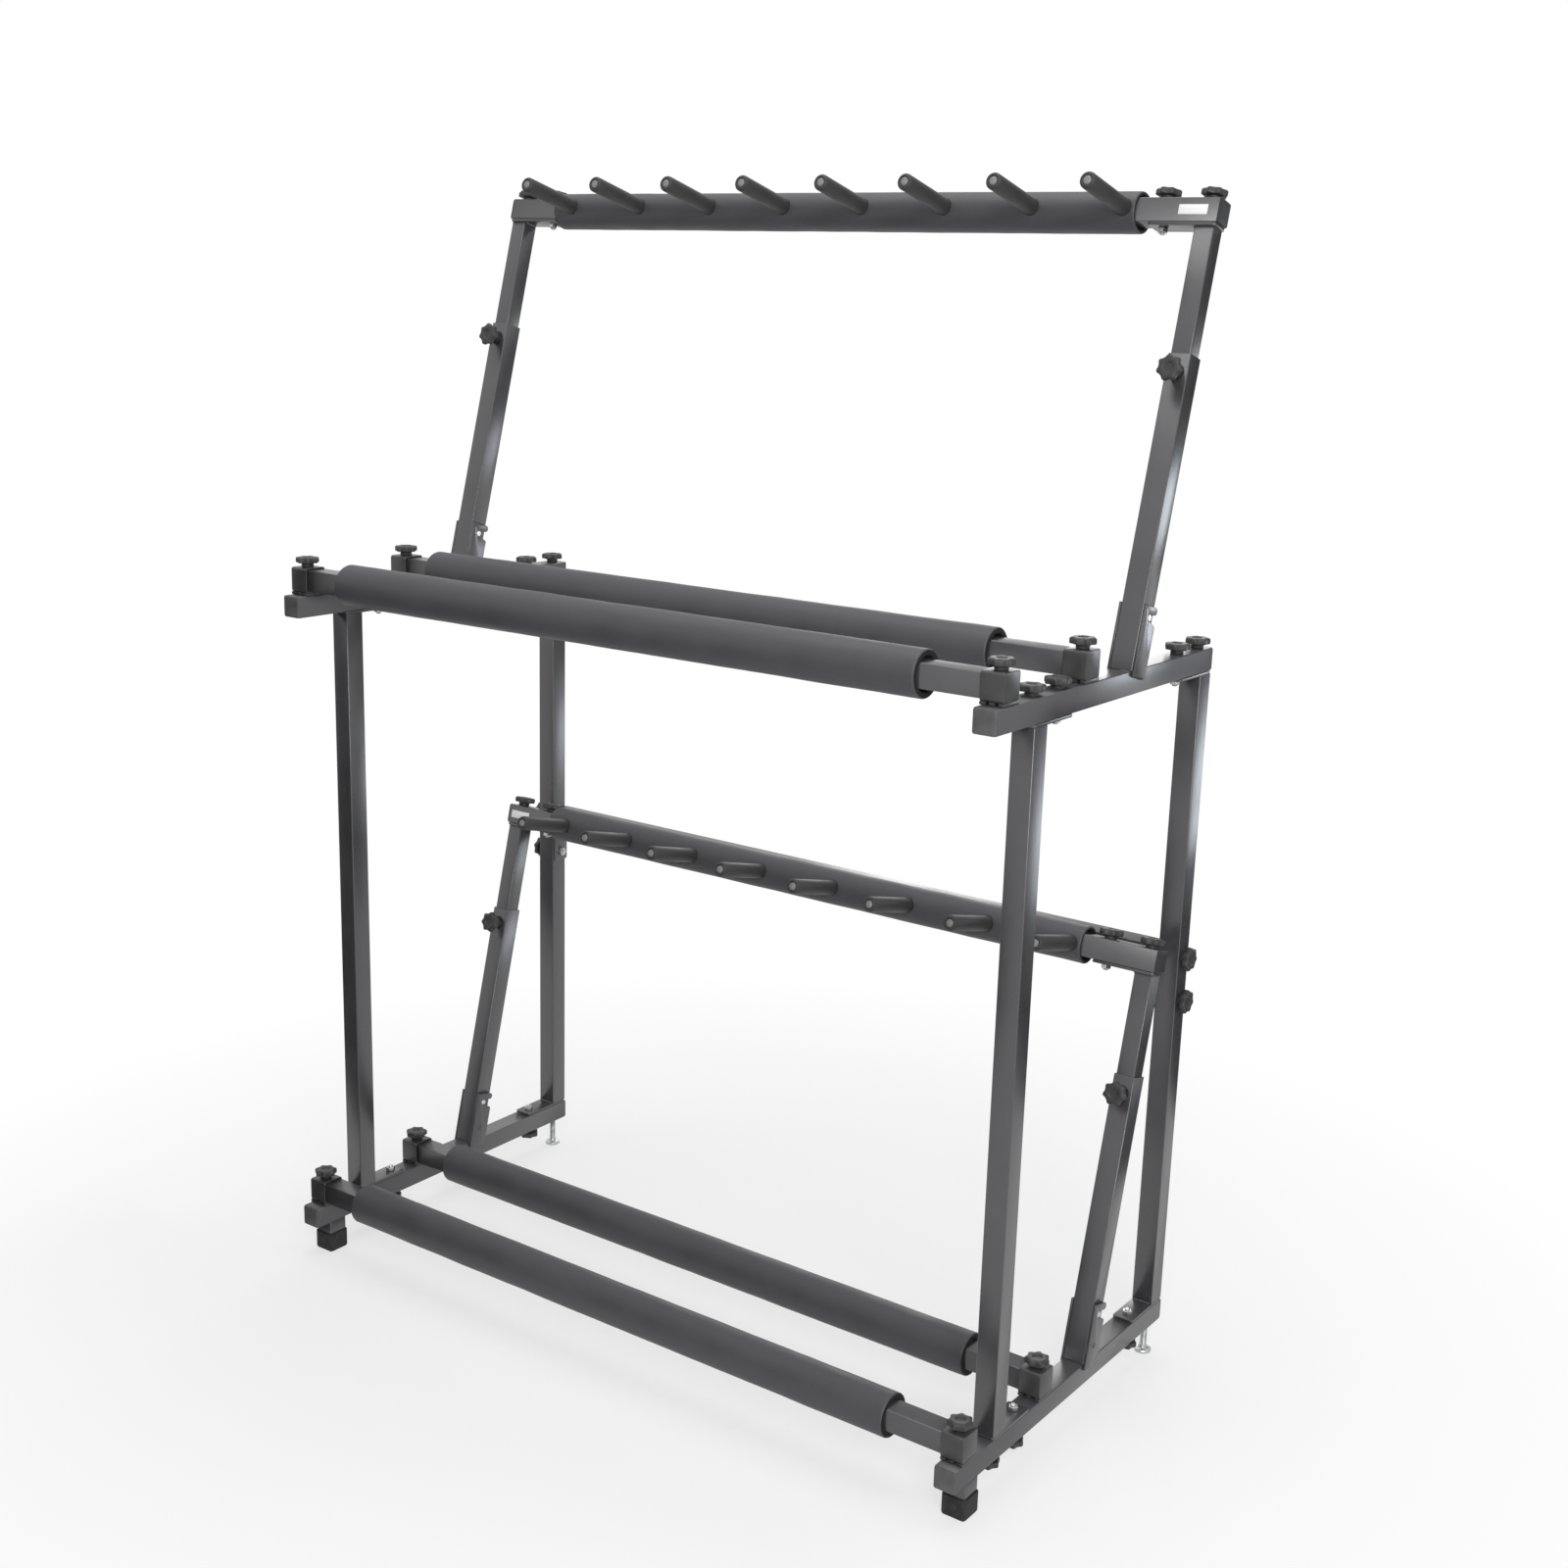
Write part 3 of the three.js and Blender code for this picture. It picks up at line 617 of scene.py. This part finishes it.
def sleeve_mesh(name, radius, length, seed):
    """A foam tube along +Z, centred: its wall swells here and there, and its cut ends are soft."""
    half, outer, rows, count = length / 2, radius - foam_slack, 72, 56

    def loop(reach, height, live=1.0):
        points = []
        for turn in (2 * math.pi * step / count for step in range(count)):
            x, y = math.cos(turn), math.sin(turn)
            where = Vector((x * swells_round, y * swells_round, height * swells_per_metre + seed))
            slow = live * slow_swell * noise.noise(where)
            swollen = reach + (slow + live * fine_swell * noise.noise(where * 4))
            points.append(Vector((swollen * x, swollen * y, height)))
        return points

    # The soft edge of a cut: how far in and along each loop lies, and how much it swells.
    edge = ((0.0012, 0, 0.5), (0.0004, 0.0004, 1.0), (0, 0.0014, 1.0))
    mouth = ((0.0005, 0, 0.5), (0, 0.0008, 0))
    loops = [loop(outer - inset, along - half, live) for inset, along, live in edge]
    loops += [loop(outer, -half + cut_end + (length - 2 * cut_end) * row / rows)
              for row in range(rows + 1)]
    loops += [loop(outer - inset, half - along, live) for inset, along, live in reversed(edge)]
    loops += [loop(foam_bore + widened, half - along, live) for widened, along, live in mouth]
    loops += [loop(foam_bore + widened, along - half, live) for widened, along, live in reversed(mouth)]
    mesh = skin(name, loops, closed=True, crease=50)
    mesh.materials.append(foam)
    mesh.materials.append(foam_ends_painted_shade)
    paint_shade_in_foam_ends(mesh, radius - cut_depth)
    return mesh


def paint_shade_in_foam_ends(mesh, radius):
    """Paints near black shade on the faces that lie nearer to the axis than a radius: cut ends, bore,
    holes.
    """
    for polygon in mesh.polygons:
        polygon.material_index = int(polygon.center.to_2d().length < radius)


rail_half = 0.4780
rail_tube = tube_mesh("rail_tube", 2 * rail_half)
seed = 0
for tier, base in tiers.items():
    for line, setback in rail_setbacks.items():
        name = f"{tier}_{line}_rail"
        middle = Vector((0, front_y + setback, base + rail_rise))
        piece(f"{name}_tube", rail_tube, black_coat, stood(middle + LEFT * rail_half, RIGHT, UP),
              "frame", "tube_paint", name)
        seed += seed_step
        sleeve = sleeve_mesh(f"{name}_sleeve", foam_radius, rail_foam, seed)
        centre = middle + RIGHT * rail_foam_shifts[f"{tier}_{line}"]
        padding = piece(f"{name}_sleeve", sleeve, foam, stood(centre, RIGHT, UP),
                        "frame", "foam", f"{name}_foam")

# Rail end caps
# A moulded black cap closes each end of a padded rail. It stands on the side tube on three short feet,
# and a hand knob's bolt goes through it and the rail.

cap_length = 0.026
cap_wall = 0.0017
cap_corner = 0.003
cap_foot_width = 0.006
cap_foot_count = 3
cap_foot_bite = 0.0004
cap_plastic = moulded_plastic("cap_plastic", shade=0.046, rough=0.36)
cap_inside = tube / 2 + seat
# Each (half width, corner radius, height), from the closed end to the rim and back inside.
cap_stations = (
    (cap_half - 0.0012, 0.002, 0), (cap_half - 0.0004, 0.0026, 0.0003), (cap_half, cap_corner, 0.0012),
    (cap_half, cap_corner, cap_length - 0.0005), (cap_half - 0.0004, 0.0027, cap_length),
    (cap_inside + 0.0004, 0.0028, cap_length), (cap_inside, 0.0026, cap_length - 0.0005),
    (cap_inside, 0.0026, cap_wall), (0.004, 0.001, cap_wall))
cap_mesh = skin("rail_cap", [square(*station) for station in cap_stations], crease=35)


def feet_mesh():
    """The three feet of a cap, along +Z from its closed end, standing down from y = 0."""
    work = bmesh.new()
    width = cap_foot_width
    for foot in range(cap_foot_count):
        low = foot * (cap_length - width) / (cap_foot_count - 1)
        made = bmesh.ops.create_cube(work, size=1)["verts"]
        bmesh.ops.scale(work, verts=made, vec=(2 * cap_half, cap_foot + cap_foot_bite, width))
        centre = (0, cap_foot / 2 - cap_foot_bite / 2, low + width / 2)
        bmesh.ops.translate(work, verts=made, vec=centre)
    bmesh.ops.bevel(work, geom=list(work.edges), offset=0.0005, segments=2, profile=0.5, affect="EDGES")
    mesh = bpy.data.meshes.new("cap_feet")
    work.to_mesh(mesh)
    work.free()
    smooth(mesh)
    return mesh


cap_feet = feet_mesh()
for tier, base in tiers.items():
    for line, setback in rail_setbacks.items():
        for side, sign in sides.items():
            name = f"{tier}_{line}_rail_cap_{side}"
            end = Vector((sign * (side_x + tube / 2), front_y + setback, base + rail_rise))
            inward = RIGHT * -sign
            piece(f"{name}_shell", cap_mesh, cap_plastic, stood(end, inward, UP),
                  "frame", "cap_plastic", name)
            piece(f"{name}_feet", cap_feet, cap_plastic, stood(end + DOWN * cap_half, inward, DOWN),
                  "frame", "cap_plastic")

# Leaning arms
# An outer steel tube on a pivot pin between its two bracket plates. A lock pin through it drops into
# their notches, and a boss near its top takes the clamp knob.

arm_top = 0.319
arm_wall = 0.0015
arm_plug_top = 0.020
arm_plug_play = 0.0001
arm_plug_corner = 0.0006
arm_plug_recess = 0.0005
clamp_rise = 0.300
boss_height = 0.009
pin_half = tube / 2 + seat + bracket_thickness
pin_edge = 0.0004
pivot_radius = 0.004
lock_radius = 0.0035


def foot_cut(tier, y):
    """How high an arm's foot is cut: level above the side tube, then round for folding back."""
    lean = leans[tier]
    reach = pivot_rise * math.cos(lean) - seat
    if y <= reach * math.sin(lean):
        return pivot_rise + (y * math.sin(lean) - reach) / math.cos(lean)
    return pivot_rise - math.sqrt(reach ** 2 - y ** 2)


def arm_mesh(tier):
    """An arm's tube, sawn at its foot so that it clears the side tube."""
    half, inner = arm_size / 2, arm_size / 2 - arm_wall
    corner, inner_corner = tube_corner, tube_inner_corner

    def footed(reach, radius, lift):
        return [Vector((x, y, foot_cut(tier, y) + lift)) for x, y, z in square(reach, radius, 0)]

    loops = [
        footed(half, corner, burr), square(half, corner, arm_top - burr),
        square(half - burr, corner - burr, arm_top), square(inner + burr, inner_corner + burr, arm_top),
        square(inner, inner_corner, arm_top - burr),
        footed(inner, inner_corner, burr), footed(inner + burr, inner_corner + burr, 0),
        footed(half - burr, corner - burr, 0)]
    return skin(f"{tier}_arm_tube", loops, closed=True, crease=50)


def arm_plug_mesh(tier):
    """The moulded plug that fills the foot of an arm."""
    half = arm_size / 2 - arm_wall - arm_plug_play
    foot = [Vector((x, y, foot_cut(tier, y) + arm_plug_recess))
            for x, y, z in square(half, arm_plug_corner, 0)]
    return skin(f"{tier}_arm_plug", [foot, square(half, arm_plug_corner, arm_plug_top)], crease=35)


foot_plastic = moulded_plastic("arm_plug_plastic", shade=0.03, rough=0.55)
# The boss belongs to the painted arm; its near black is painted shade, the shade that falls round the
# clamp knob.
boss_painted_shade = moulded_plastic("clamp_boss_painted_shade", shade=0.008, rough=0.5)


def pin_mesh(name, radius):
    """A pin through both bracket plates, with its ends chamfered."""
    return skin(name, [
        circle(radius - pin_edge, -pin_half), circle(radius, pin_edge - pin_half),
        circle(radius, pin_half - pin_edge), circle(radius - pin_edge, pin_half)], crease=30)


pivot_mesh = pin_mesh("pivot_pin", pivot_radius)
lock_mesh = pin_mesh("lock_pin", lock_radius)
# Each (radius, height) of the boss, from the arm outward and back down its hole.
boss_stations = (
    (0.0086, -0.0002), (0.0084, 0.0006), (0.0080, 0.0014), (0.0080, 0.0083),
    (0.0074, boss_height), (0.0038, boss_height), (0.0034, 0.0086), (0.0033, 0.001))
boss_mesh = skin("clamp_boss", [circle(*station) for station in boss_stations], crease=35)
across = Matrix.Rotation(math.pi / 2, 4, "Y")
forward = Matrix.Rotation(math.pi / 2, 4, "X")
for tier in tiers:
    arm_tube, arm_plug = arm_mesh(tier), arm_plug_mesh(tier)
    for side, sign in sides.items():
        x = sign * side_x
        name = f"{tier}_arm_{side}"
        body = f"{tier}_arms"
        piece(f"{name}_tube", arm_tube, black_coat, leaning(tier, x), body, "tube_paint", name)
        piece(f"{name}_plug", arm_plug, foot_plastic, leaning(tier, x), body, "cap_plastic")
        piece(f"{name}_lock_pin", lock_mesh, zinc, leaning(tier, x, lock_rise) @ across,
              body, "bright_steel")
        pin = f"{tier}_pivot_pin_{side}"
        piece(f"{pin}_rod", pivot_mesh, black_coat, leaning(tier, x, pivot_rise) @ across,
              "frame", "bright_steel", pin)
        boss_place = leaning(tier, x, clamp_rise, -arm_size / 2) @ forward
        piece(f"{name}_boss", boss_mesh, boss_painted_shade, boss_place, body, "cap_plastic")

# Inner arms
# A smaller steel tube slides in each outer arm, where the clamp knob holds it. The flange and nut
# welded on its top take the hook rail's knobs.

hook_rises = {"lower": 0.461, "upper": 0.477}
inner_length = 0.259
inner_gap = 0.0002
inner_size = arm_size - 2 * arm_wall - 2 * seat
inner_weld_lift = 0.0005
inner_weld_half = 0.009
inner_tube = tube_mesh("inner_arm_tube", inner_length - inner_gap, inner_size, arm_wall)
upside_down = Matrix.Rotation(math.pi, 4, "X")
for tier in tiers:
    top = hook_rises[tier] - tube - seat
    for side, sign in sides.items():
        name = f"{tier}_inner_arm_{side}"
        body = f"{tier}_hooks"
        x = sign * side_x
        foot = top - flange - inner_length + inner_gap
        piece(f"{name}_tube", inner_tube, black_coat, leaning(tier, x, foot), body, "tube_paint", name)
        inward = Matrix.Rotation(sign * math.pi / 2, 4, "Z")
        piece(f"{name}_flange", flange_mesh, black_coat, leaning(tier, x, top - flange) @ inward,
              body, "tube_paint")
        nut_place = leaning(tier, x - sign * bolt_spacing, top - flange) @ upside_down
        piece(f"{name}_nut", nut_mesh, zinc, nut_place, body, "bright_steel")
        corner = leaning(tier, x - sign * (inner_size / 2 + inner_weld_lift),
                         top - flange - inner_weld_lift)
        start = corner @ Vector((0, -inner_weld_half, 0))
        weld(f"{name}_weld", start, corner @ Vector((0, inner_weld_half, 0)), body, fine_bead)

# Hook rails
# A square steel tube across both arms, closed with end plugs. Foam covers its middle, and eight pegs
# with rubber sleeves stand out of holes in the foam.

hook_length = 0.960
hook_foam_radius = 0.0216
hook_foam = 0.794
hook_foam_shift = -0.005
peg_count = 8
peg_inset = 0.104
peg_spacing = (hook_length - 2 * peg_inset) / (peg_count - 1)
peg_shift = 0.003
peg_reach = 0.106
peg_radius = 0.009
peg_gap = 0.0002
hole_clearance = 0.0003
punch_ends = (0.002, 0.03)
hook_tube = tube_mesh("hook_tube", hook_length)
hook_plug = plug_mesh()
# Darker than the side tube plugs of the same shape: painted shade on the ends that face sideways.
hook_plug_painted_shade = moulded_plastic("hook_plug_painted_shade", shade=0.018, rough=0.6)


def peg_rubber():
    """The rubber sleeve of a peg: dark, slightly glossy where hands rub it."""
    finish = Finish("peg_rubber", {"Specular IOR Level": 0.4})
    rub, grain = finish.grain(60, 4, (1, 1, 0.4)), finish.grain(1400, 2)
    shade = finish.between(grey(0.026), grey(0.046, 0.02), finish.spread(rub, 0.3, 0.7, 0, 1))
    rough = finish.spread(rub, 0.3, 0.7, 0.48, 0.7)
    return finish.coated(shade, rough, grain, depth=0.00008, strength=0.6)


sleeve_rubber = peg_rubber()
peg_end = moulded_plastic("peg_end_plastic", shade=0.22, rough=0.4)
peg_foot = tube / 2 + peg_gap
# Each (radius, height) of the sleeve, up its outside, over its rounded rim and down its bore.
sleeve_stations = (
    (peg_radius - 0.0002, peg_foot), (peg_radius, peg_foot + 0.0008), (peg_radius, peg_reach - 0.0042),
    (0.0088, peg_reach - 0.0026), (0.0080, peg_reach - 0.0012), (0.0068, peg_reach - 0.0004),
    (0.0056, peg_reach - 0.0003), (0.0050, peg_reach - 0.0008), (0.0049, peg_reach - 0.0020),
    (0.0049, peg_foot + 0.0008), (0.0052, peg_foot))
peg_sleeve = skin("peg_sleeve", [circle(*station) for station in sleeve_stations],
                  closed=True, crease=50)
tip_stations = (
    (0.0046, peg_foot), (0.0047, peg_reach - 0.0014), (0.0042, peg_reach - 0.0007),
    (0.0030, peg_reach - 0.0002), (0.0012, peg_reach))
peg_tip = skin("peg_tip", [circle(*station) for station in tip_stations], crease=60)


def peg_x(peg):
    """Where a peg stands along its rail."""
    return peg_shift + (peg - (peg_count - 1) / 2) * peg_spacing


def pegged_sleeve(name, seed):
    """A foam sleeve with a round hole cut for each peg, on its forward side."""
    cut = shown(name, sleeve_mesh(name, hook_foam_radius, hook_foam, seed))
    hole_radius = peg_radius + hole_clearance
    punch_mesh = skin("peg_punch", [circle(hole_radius, end, count=28) for end in punch_ends])
    punches = []
    for peg in range(peg_count):
        punch = shown("peg_punch", punch_mesh)
        punch.matrix_world = stood(Vector((0, 0, peg_x(peg) - hook_foam_shift)), RIGHT, UP)
        modifier = cut.modifiers.new("hole", "BOOLEAN")
        modifier.operation, modifier.solver, modifier.object = "DIFFERENCE", "EXACT", punch
        punches.append(punch)
    bpy.context.view_layer.update()
    pierced = bpy.data.meshes.new_from_object(cut.evaluated_get(bpy.context.evaluated_depsgraph_get()))
    for spare in punches + [cut]:
        bpy.data.objects.remove(spare)
    pierced.name = name
    paint_shade_in_foam_ends(pierced, hook_foam_radius - cut_depth)
    smooth(pierced, 50)
    return pierced


def sticker_paper():
    """Plain white paper, a little uneven."""
    finish = Finish("blank_sticker", {"Roughness": 0.6})
    shade = finish.between(grey(0.84), grey(0.92), finish.grain(300, 3))
    finish.feed(finish.coat, {"Base Color": shade})
    return finish.material


sticker_x = {"lower": -0.460, "upper": 0.453}
sticker_half_width = 0.0158
sticker_half_height = 0.0050
sticker_thickness = 0.00015
sticker_edge = 0.00004
sticker_outline = [(x * sticker_half_width, y * sticker_half_height)
                   for x, y in ((-1, -1), (1, -1), (1, 1), (-1, 1))]
sticker = plate_mesh("blank_sticker", sticker_outline, sticker_thickness, sticker_edge)
white_paper = sticker_paper()
holes_forward = Matrix(((0, 0, 1), (-1, 0, 0), (0, -1, 0))).to_4x4()
for tier in tiers:
    name = f"{tier}_hook_rail"
    body = f"{tier}_hooks"
    middle = hook_rises[tier] - tube / 2
    face = leaning(tier, sticker_x[tier], middle, -tube / 2) @ forward
    piece(f"{name}_sticker", sticker, white_paper, face, body, "cap_plastic")
    piece(f"{name}_tube", hook_tube, black_coat, leaning(tier, -hook_length / 2, middle) @ across,
          body, "tube_paint", name)
    for side, sign in sides.items():
        outward = Matrix.Rotation(sign * math.pi / 2, 4, "Y")
        end = leaning(tier, sign * hook_length / 2, middle) @ outward
        piece(f"{name}_plug_{side}", hook_plug, hook_plug_painted_shade, end, body, "cap_plastic")
    seed += seed_step
    sleeve = pegged_sleeve(f"{name}_sleeve", seed)
    around = leaning(tier, hook_foam_shift, middle) @ holes_forward
    padding = piece(f"{name}_sleeve", sleeve, foam, around, body, "foam", f"{tier}_hook_foam")
    for peg in range(peg_count):
        out = leaning(tier, peg_x(peg), middle) @ forward
        piece(f"{tier}_peg_{peg + 1}_sleeve", peg_sleeve, sleeve_rubber, out, body, "foot_rubber")
        piece(f"{tier}_peg_{peg + 1}_tip", peg_tip, peg_end, out, body, "bright_steel")

# Hand knobs
# Thirty eight moulded knobs hold the stand together, so that it comes apart by hand. Those through
# posts, crossbar and hook rails have zinc plated bolts, and the rail and clamp knobs blackened ones.

knob_radius = 0.01375
knob_neck = 0.0045
knob_head = 0.0065
knob_lobes = 7
lobe_steps = 12
groove_sharpness = 1.6
knob_turn = 1.7
bolt_root = 0.001
bolt_tip = 0.0006
bolt_chamfer = 0.0012
bolt_overrun = 0.002
thread_inset = 0.0005
knob_plastic = moulded_plastic("knob_plastic", shade=0.034, rough=0.5)


def lobed(radius, height, groove):
    """A loop with rounded lobes and narrower grooves between them."""
    loop, count = [], lobe_steps * knob_lobes
    for turn in (2 * math.pi * step / count for step in range(count)):
        dip = (0.5 - 0.5 * math.cos(knob_lobes * turn)) ** groove_sharpness
        reach = radius - groove * (1 - dip)
        loop.append(Vector((reach * math.cos(turn), reach * math.sin(turn), height)))
    return loop


def knob_mesh():
    """A knob's neck, its lobed skirt and the dished face on its top."""
    top = knob_neck + knob_head
    # Each (radius, height, groove depth) from the neck's foot to the middle of the dish.
    stations = (
        (0.0065, 0, 0), (0.0070, 0.0004, 0), (0.0070, knob_neck - 0.0010, 0),
        (0.0078, knob_neck - 0.0003, 0),
        (0.0105, knob_neck, 0.0006), (knob_radius - 0.0008, knob_neck + 0.0001, 0.0016),
        (knob_radius - 0.0001, knob_neck + 0.0008, 0.0021), (knob_radius, knob_neck + 0.0016, 0.0022),
        (knob_radius, top - 0.0018, 0.0022), (knob_radius - 0.0005, top - 0.0007, 0.0021),
        (knob_radius - 0.0018, top, 0.0018), (0.0092, top + 0.0002, 0.0004), (0.0060, top + 0.0002, 0),
        (0.0052, top - 0.0002, 0), (0.0046, top - 0.0011, 0), (0.0012, top - 0.0013, 0))
    return skin("hand_knob", [lobed(*station) for station in stations], crease=38)


def bolt_mesh(name, length):
    """A bolt that hangs from its knob, threaded down to a chamfered tip."""
    stations = [(bolt_radius, bolt_root)] + threaded(-thread_inset, -length + bolt_tip)
    stations.append((bolt_radius - bolt_chamfer, -length))
    return skin(name, [circle(*station, count=20) for station in stations], crease=25)


knob_head_mesh = knob_mesh()
through_bolt = bolt_mesh("through_bolt", tube + seat + flange + nut_height + bolt_overrun)
rail_bolt = bolt_mesh("rail_bolt", 2 * cap_half + seat * 2 + cap_foot + tube_wall + bolt_overrun)
clamp_bolt = bolt_mesh("clamp_bolt", boss_height + arm_wall + seat)
black_bolts = moulded_plastic("blackened_bolt_steel", shade=0.015, rough=0.4)
spin = 0


def hand_knob(name, place, bolt, body, *nodes):
    """A knob, turned a little further than the one before it, with its bolt."""
    global spin
    spin += 1
    turned = place @ Matrix.Rotation(spin * knob_turn, 4, "Z")
    piece(f"{name}_head", knob_head_mesh, knob_plastic, turned, body, "knob_plastic", *nodes)
    if bolt == through_bolt:
        piece(f"{name}_bolt", bolt, zinc, turned, body, "bright_steel")
    else:
        piece(f"{name}_bolt", bolt, black_bolts, turned, body, "knob_plastic")


# Under the lower tier, the levelling foot takes the last of the four places.
post_spots = (("front", front_post_y), ("front_inner", front_post_y + bolt_spacing),
              ("rear_inner", rear_post_y - bolt_spacing), ("rear", rear_post_y))
for tier, base in tiers.items():
    upper = tier == "upper"
    height, up, spots = (base + tube, UP, post_spots) if upper else (base, DOWN, post_spots[:3])
    for side, sign in sides.items():
        x = sign * side_x
        for spot, y in spots:
            where = stood(Vector((x, y, height)), up)
            hand_knob(f"{tier}_post_knob_{side}_{spot}", where, through_bolt, "frame")
        for line, setback in rail_setbacks.items():
            name = f"{tier}_{line}_rail_knob_{side}"
            where = Vector((x, front_y + setback, base + rail_rise + cap_half + seat))
            hand_knob(name, stood(where), rail_bolt, f"{name}_turner", name)
        for spot, inset in (("outer", 0), ("inner", bolt_spacing)):
            where = leaning(tier, sign * (side_x - inset), hook_rises[tier])
            hand_knob(f"{tier}_hook_knob_{side}_{spot}", where, through_bolt, f"{tier}_hooks")
        name = f"{tier}_clamp_knob_{side}"
        where = leaning(tier, x, clamp_rise, -arm_size / 2 - boss_height - seat)
        hand_knob(name, where @ forward, clamp_bolt, f"{name}_turner", name)
for side, sign in sides.items():
    for spot, drop in (("upper", 0), ("lower", bolt_spacing)):
        where = Vector((sign * (side_x + tube / 2), rear_post_y, crossbar_z - drop))
        place = stood(where, RIGHT * sign, BACK)
        hand_knob(f"crossbar_knob_{side}_{spot}", place, through_bolt, "frame")

# Studio
# A pale floor, soft lamps above, to the right and behind, black cards that give the tubes their dark
# reflections, and the camera at the photograph's place.


def lamp(name, where, target, size, watts, tall=None, tint=(1, 1, 1)):
    """A soft lamp turned to a target: round, or oblong where its height is given."""
    light = bpy.data.lights.new(name, "AREA")
    light.shape, light.size, light.energy = "RECTANGLE" if tall else "DISK", size, watts
    light.size_y, light.color = tall or size, tint
    holder = shown(name, light)
    holder.location = where
    holder.rotation_euler = (Vector(target) - Vector(where)).to_track_quat("-Z", "Y").to_euler()
    holder.visible_camera = False


lamp("key_light", (1.95, -2.1, 2), target=(0.1, 0, 0.7), size=1.5, watts=53)
lamp("top_light", (-0.2, 0.1, 3.4), target=(0, 0, 0.6), size=2.4, watts=34)
lamp("low_rear_strip", (1.85, 3.3, 0.66), target=(0.4, 0, 0.9), size=1.3, watts=18,
     tall=0.7, tint=(0.86, 0.93, 1))
lamp("rear_left_softbox", (-1.4, 3.3, 1.6), target=(0, 0, 0.8), size=1.2, watts=14)


def black_card(name, corners, shades=False):
    """A black panel out of view, which the coated tubes reflect; it may also hold back soft light."""
    sheet = bpy.data.meshes.new(name)
    sheet.from_pydata(corners, [], [(0, 1, 2, 3)])
    sheet.materials.append(card_black)
    card = shown(name, sheet)
    card.visible_camera = card.visible_shadow = card.visible_transmission = False
    card.visible_diffuse = shades


matt_black = {"Base Color": grey(0.01), "Roughness": 0.9, "Specular IOR Level": 0.0}
card_black = Finish("card_black", matt_black).material
black_card("left_card", [
    (-0.72, -2.2, 0), (-0.72, -0.28, 0), (-0.72, -0.28, 0.92), (-0.72, -2.2, 0.92)], shades=True)
black_card("right_card", [
    (0.5, 0.8, 0.001), (1.9, 0.8, 0.001), (1.9, 0.8, 0.56), (0.5, 0.8, 0.56)])
black_card("floor_card", [
    (-1.8, -1.5, 0.002), (-0.5, -1.5, 0.002), (-0.5, -0.24, 0.002), (-1.8, -0.24, 0.002)])
black_card("rear_card", [
    (0.2, 3.7, 0.05), (4.6, 3.7, 0.05), (4.6, 3.7, 2.8), (0.2, 3.7, 2.8)])

room_light = 0.32
backdrop_white = 1.0
room = bpy.data.worlds.new("studio")
bpy.context.scene.world = room
room.use_nodes = True


def seen_directly(tree):
    """1 for rays that show the backdrop, and 0 for those that only carry its light."""
    path = tree.nodes.new("ShaderNodeLightPath")
    seen = path.outputs["Is Camera Ray"]
    for kind in ("Is Glossy Ray", "Is Transmission Ray"):
        either = tree.nodes.new("ShaderNodeMath")
        either.operation = "MAXIMUM"
        tree.links.new(seen, either.inputs[0])
        tree.links.new(path.outputs[kind], either.inputs[1])
        seen = either.outputs[0]
    return seen


sky = room.node_tree
level = sky.nodes.new("ShaderNodeMapRange")
level.inputs[3].default_value, level.inputs[4].default_value = room_light, backdrop_white
sky.links.new(seen_directly(sky), level.inputs[0])
sky.nodes["Background"].inputs["Color"].default_value = (1, 1, 1, 1)
sky.links.new(level.outputs[0], sky.nodes["Background"].inputs["Strength"])


floor_half = 6
floor_back = 9
floor_drop = 0.0002
fade_start = 0.5
fade_end = 1.2
near_glow = 0.62


def floor_paint():
    """White floor that takes the stand's soft shadow, and runs out into the white backdrop."""
    finish = Finish("studio_floor", {"Roughness": 0.9, "Specular IOR Level": 0.1})
    finish.feed(finish.coat, {"Base Color": finish.between(grey(0.90), grey(0.93), finish.grain(2, 2))})
    length = {"operation": "LENGTH"}
    distance = finish.node("ShaderNodeVectorMath", length, {0: finish.place()}, "Value")
    far = finish.spread(distance, fade_start, fade_end, near_glow, backdrop_white)
    seen = Signal(finish, seen_directly(finish.material.node_tree))
    paint = Signal(finish, finish.coat.outputs[0])
    glow = finish.node("ShaderNodeEmission", {}, {})
    blend = finish.node("ShaderNodeMixShader", {}, {0: far * seen, 1: paint, 2: glow})
    finish.feed(finish.nodes["Material Output"], {"Surface": blend})
    return finish.material


floor_mesh = bpy.data.meshes.new("studio_floor")
floor_corners = [(-floor_half, -floor_half, 0), (floor_half, -floor_half, 0),
                 (floor_half, floor_back, 0), (-floor_half, floor_back, 0)]
floor_mesh.from_pydata(floor_corners, [], [(0, 1, 2, 3)])
floor_mesh.materials.append(floor_paint())
floor = shown("studio_floor", floor_mesh)
floor.location.z = -floor_drop

# The photograph's camera: its place, how it is turned in radians, and its lens in millimetres.
camera_place = (1.36931, -1.79770, 1.20295)
yaw, pitch, roll = 0.62292, -0.24602, 0.02797
focal_length, sensor_width = 46.5403, 36
toward = Vector((-math.sin(yaw) * math.cos(pitch), math.cos(yaw) * math.cos(pitch), math.sin(pitch)))
level_right = Vector((math.cos(yaw), math.sin(yaw), 0))
level_up = level_right.cross(toward)
view_right = math.cos(roll) * level_right + math.sin(roll) * level_up
view_up = math.cos(roll) * level_up - math.sin(roll) * level_right
lens = bpy.data.cameras.new("photograph")
lens.lens, lens.sensor_width = focal_length, sensor_width
lens.shift_x, lens.shift_y = 0.00145, 0.00833
camera = shown("photograph", lens)
camera.matrix_world = Matrix((view_right, view_up, -toward)).transposed().to_4x4()
camera.location = camera_place
bpy.context.scene.camera = camera
bpy.context.scene.view_settings.view_transform = "Standard"
